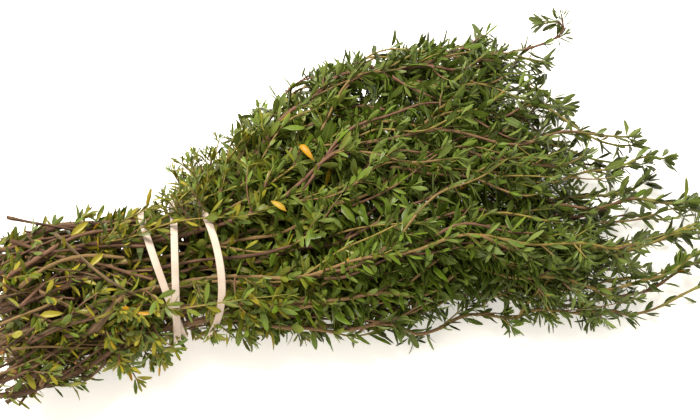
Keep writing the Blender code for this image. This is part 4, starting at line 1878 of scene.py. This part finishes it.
@dataclass(frozen=True)
class RubberFinish(Finish):
    """Pale natural rubber with a matt skin, faint mould lines and a little dust."""

    pale: str = "c7b7a9"
    warm: str = "b19d8b"
    dust: str = "927a60"
    glow_weight: float = 0.15
    glow_depths: Triple = (0.0010, 0.0006, 0.0004)

    def make(self) -> bpy.types.Material:
        """Build the rubber material: pale patches, dusty specks, lines along the strip, and painted
        shade towards its edges.

        Returns:
            The material.
        """
        material, sketch, shader = self.start("band_rubber_pale")
        mix, ramp = sketch.mix, sketch.ramp
        strip = sketch.attribute("strip")
        patches, grain = sketch.mottle(sketch.place(), 140.0, 1.5)
        colour = mix(patches, self.warm, self.pale)
        colour = mix(sketch.times(ramp(grain, 0.72, 0.92), 0.5), colour, self.dust)
        # Painted shade: the strip darkens towards its two edges.
        rim = ramp(sketch.math("ABSOLUTE", strip[1]), 0.80, 1.0)
        colour = mix(sketch.times(rim, 0.35), colour, self.warm)
        streaks, _ = sketch.mottle(sketch.scaled(strip[3], (0.12, 5.0, 0.0)), 1.0, 1.5)
        rough = sketch.times_plus(grain, 0.2, 0.52)
        self.close(sketch, shader, colour, rough, sketch.times_plus(grain, 0.6, streaks))
        sketch.fill(shader, Subsurface_Weight=self.glow_weight, Subsurface_Radius=self.glow_depths)
        sketch.fill(shader, Subsurface_Scale=1.0)
        return material


@dataclass(frozen=True)
class TableFinish(Finish):
    """The plain pale table, with the faintest unevenness, lit softly from below as a light table."""

    pale: str = "fbf9f7"
    warm: str = "f8f4f0"
    glow: str = "fffaf2"
    roughness: float = 0.8
    brightness: float = 0.50

    def make(self) -> bpy.types.Material:
        """Build the table material.

        Returns:
            The material.
        """
        material, sketch, shader = self.start("table_white")
        patches, _ = sketch.mottle(sketch.place(), 3.0, 1.0)
        colour = sketch.mix(patches, self.pale, self.warm)
        sketch.fill(shader, Base_Color=colour, Roughness=self.roughness)
        sketch.fill(shader, Emission_Color=self.glow, Emission_Strength=self.brightness)
        return material


@dataclass(frozen=True)
class Lamp:
    """A soft square light that looks at the bundle."""

    name: str
    place: Triple
    size: float
    power: float
    tint: str

    def hang(self) -> None:
        """Make the light and link it."""
        lamp = bpy.data.lights.new(self.name, "AREA")
        lamp.size = self.size
        lamp.energy = self.power
        lamp.color = linear_colour(self.tint)[:3]
        holder = bpy.data.objects.new(self.name, lamp)
        holder.location = self.place
        holder.rotation_euler = (-Vector(self.place)).to_track_quat("-Z", "Y").to_euler()
        bpy.context.scene.collection.objects.link(holder)


@dataclass
class Studio:
    """Table, lights and camera. The camera stands at an azimuth, an elevation and a distance."""

    azimuth: float = math.radians(-14.0)
    elevation: float = math.radians(55.0)
    distance: float = 0.67
    lens: float = 75.0
    sensor_width: float = 36.0
    nearest: float = 0.01
    target: Triple = (-0.0013, -0.0005, 0.0192)
    table_size: float = 6.0
    surroundings: tuple[float, ...] = (1.0, 0.975, 0.925, 1.0)
    surroundings_strength: float = 0.64
    lamps: tuple[Lamp, ...] = (
        Lamp("overhead", (-0.30, 0.40, 1.20), 0.6, 29.0, "fffaf0"),
        Lamp("front_left", (-1.00, -0.75, 0.85), 1.0, 8.0, "fff6ea"),
    )

    def build_table(self) -> None:
        """Lay the table's wide square at z = 0."""
        corners = np.array([[-0.5, -0.5, 0.0], [0.5, -0.5, 0.0], [0.5, 0.5, 0.0], [-0.5, 0.5, 0.0]])
        surface = Surface()
        surface.add(self.table_size * corners, np.array([[0, 1, 2, 3]]), NO_TRIANGLES, {})
        table = surface.to_object("table")
        table.data.materials.append(TableFinish().make())

    def build_lights(self) -> None:
        """Hang the soft lights and set the pale surroundings."""
        for lamp in self.lamps:
            lamp.hang()
        world = bpy.data.worlds.new("studio")
        world.use_nodes = True
        background = world.node_tree.nodes["Background"]
        background.inputs["Color"].default_value = self.surroundings
        background.inputs["Strength"].default_value = self.surroundings_strength
        bpy.context.scene.world = world

    def build_camera(self) -> None:
        """Set up the camera, turned to the bundle's middle from the near side and above."""
        flat = math.cos(self.elevation)
        ahead, aside = -math.cos(self.azimuth) * flat, math.sin(self.azimuth) * flat
        back = Vector((aside, ahead, math.sin(self.elevation)))
        lens = bpy.data.cameras.new("camera")
        lens.lens = self.lens
        lens.sensor_width = self.sensor_width
        lens.clip_start = self.nearest
        holder = bpy.data.objects.new("camera", lens)
        holder.location = Vector(self.target) + back * self.distance
        holder.rotation_euler = back.to_track_quat("Z", "Y").to_euler()
        bpy.context.scene.collection.objects.link(holder)
        bpy.context.scene.camera = holder

    def build(self) -> None:
        """Build the whole studio, with plain colours."""
        self.build_table()
        self.build_lights()
        self.build_camera()
        view = bpy.context.scene.view_settings
        view.view_transform = "Standard"
        view.look = "None"
        view.exposure = 0.0


def seat_of(form: BundleForm, route: BandForm) -> Array:
    """How far the frame's axes lie from the bundle's own.

    Args:
        form: the bundle.
        route: its band's route.

    Returns:
        The middle of the CAD band's box, less that of the route's.
    """
    share, edge = np.meshgrid(np.linspace(0.0, 1.0, 85), np.array([-0.5, 0.5]), indexing="ij")
    points = route.surface(form, share, edge).reshape(-1, 3)
    middle = 0.5 * (points.min(axis=0) + points.max(axis=0))
    low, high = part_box("rubber_band")
    return 0.5 * (np.array(low) + np.array(high)) - middle


def main() -> None:
    """Build every piece of the bundle and the studio."""
    logging.basicConfig(level=logging.INFO, format="%(name)s: %(message)s")
    form = BundleForm()
    route = BandForm()
    seat = seat_of(form, route)
    log.info("seat %s", np.round(seat, 5))
    bark = WoodFinish().make()
    blade = LeafFinish().make()
    rubber = RubberFinish().make()
    places = form.places()
    is_twig = np.arange(len(places)) % form.twig_step == form.twig_step - 1
    for number, (u, v) in enumerate(places[~is_twig], start=1):
        Sprig(number, float(u), float(v), form, seat).build(bark, blade)
    for number, (u, v) in enumerate(places[is_twig], start=1):
        BareTwig(number, float(u), float(v), form, seat).build(bark)
    RubberBand(route, form, seat).build(rubber)
    Studio().build()


if __name__ == "__main__":
    main()
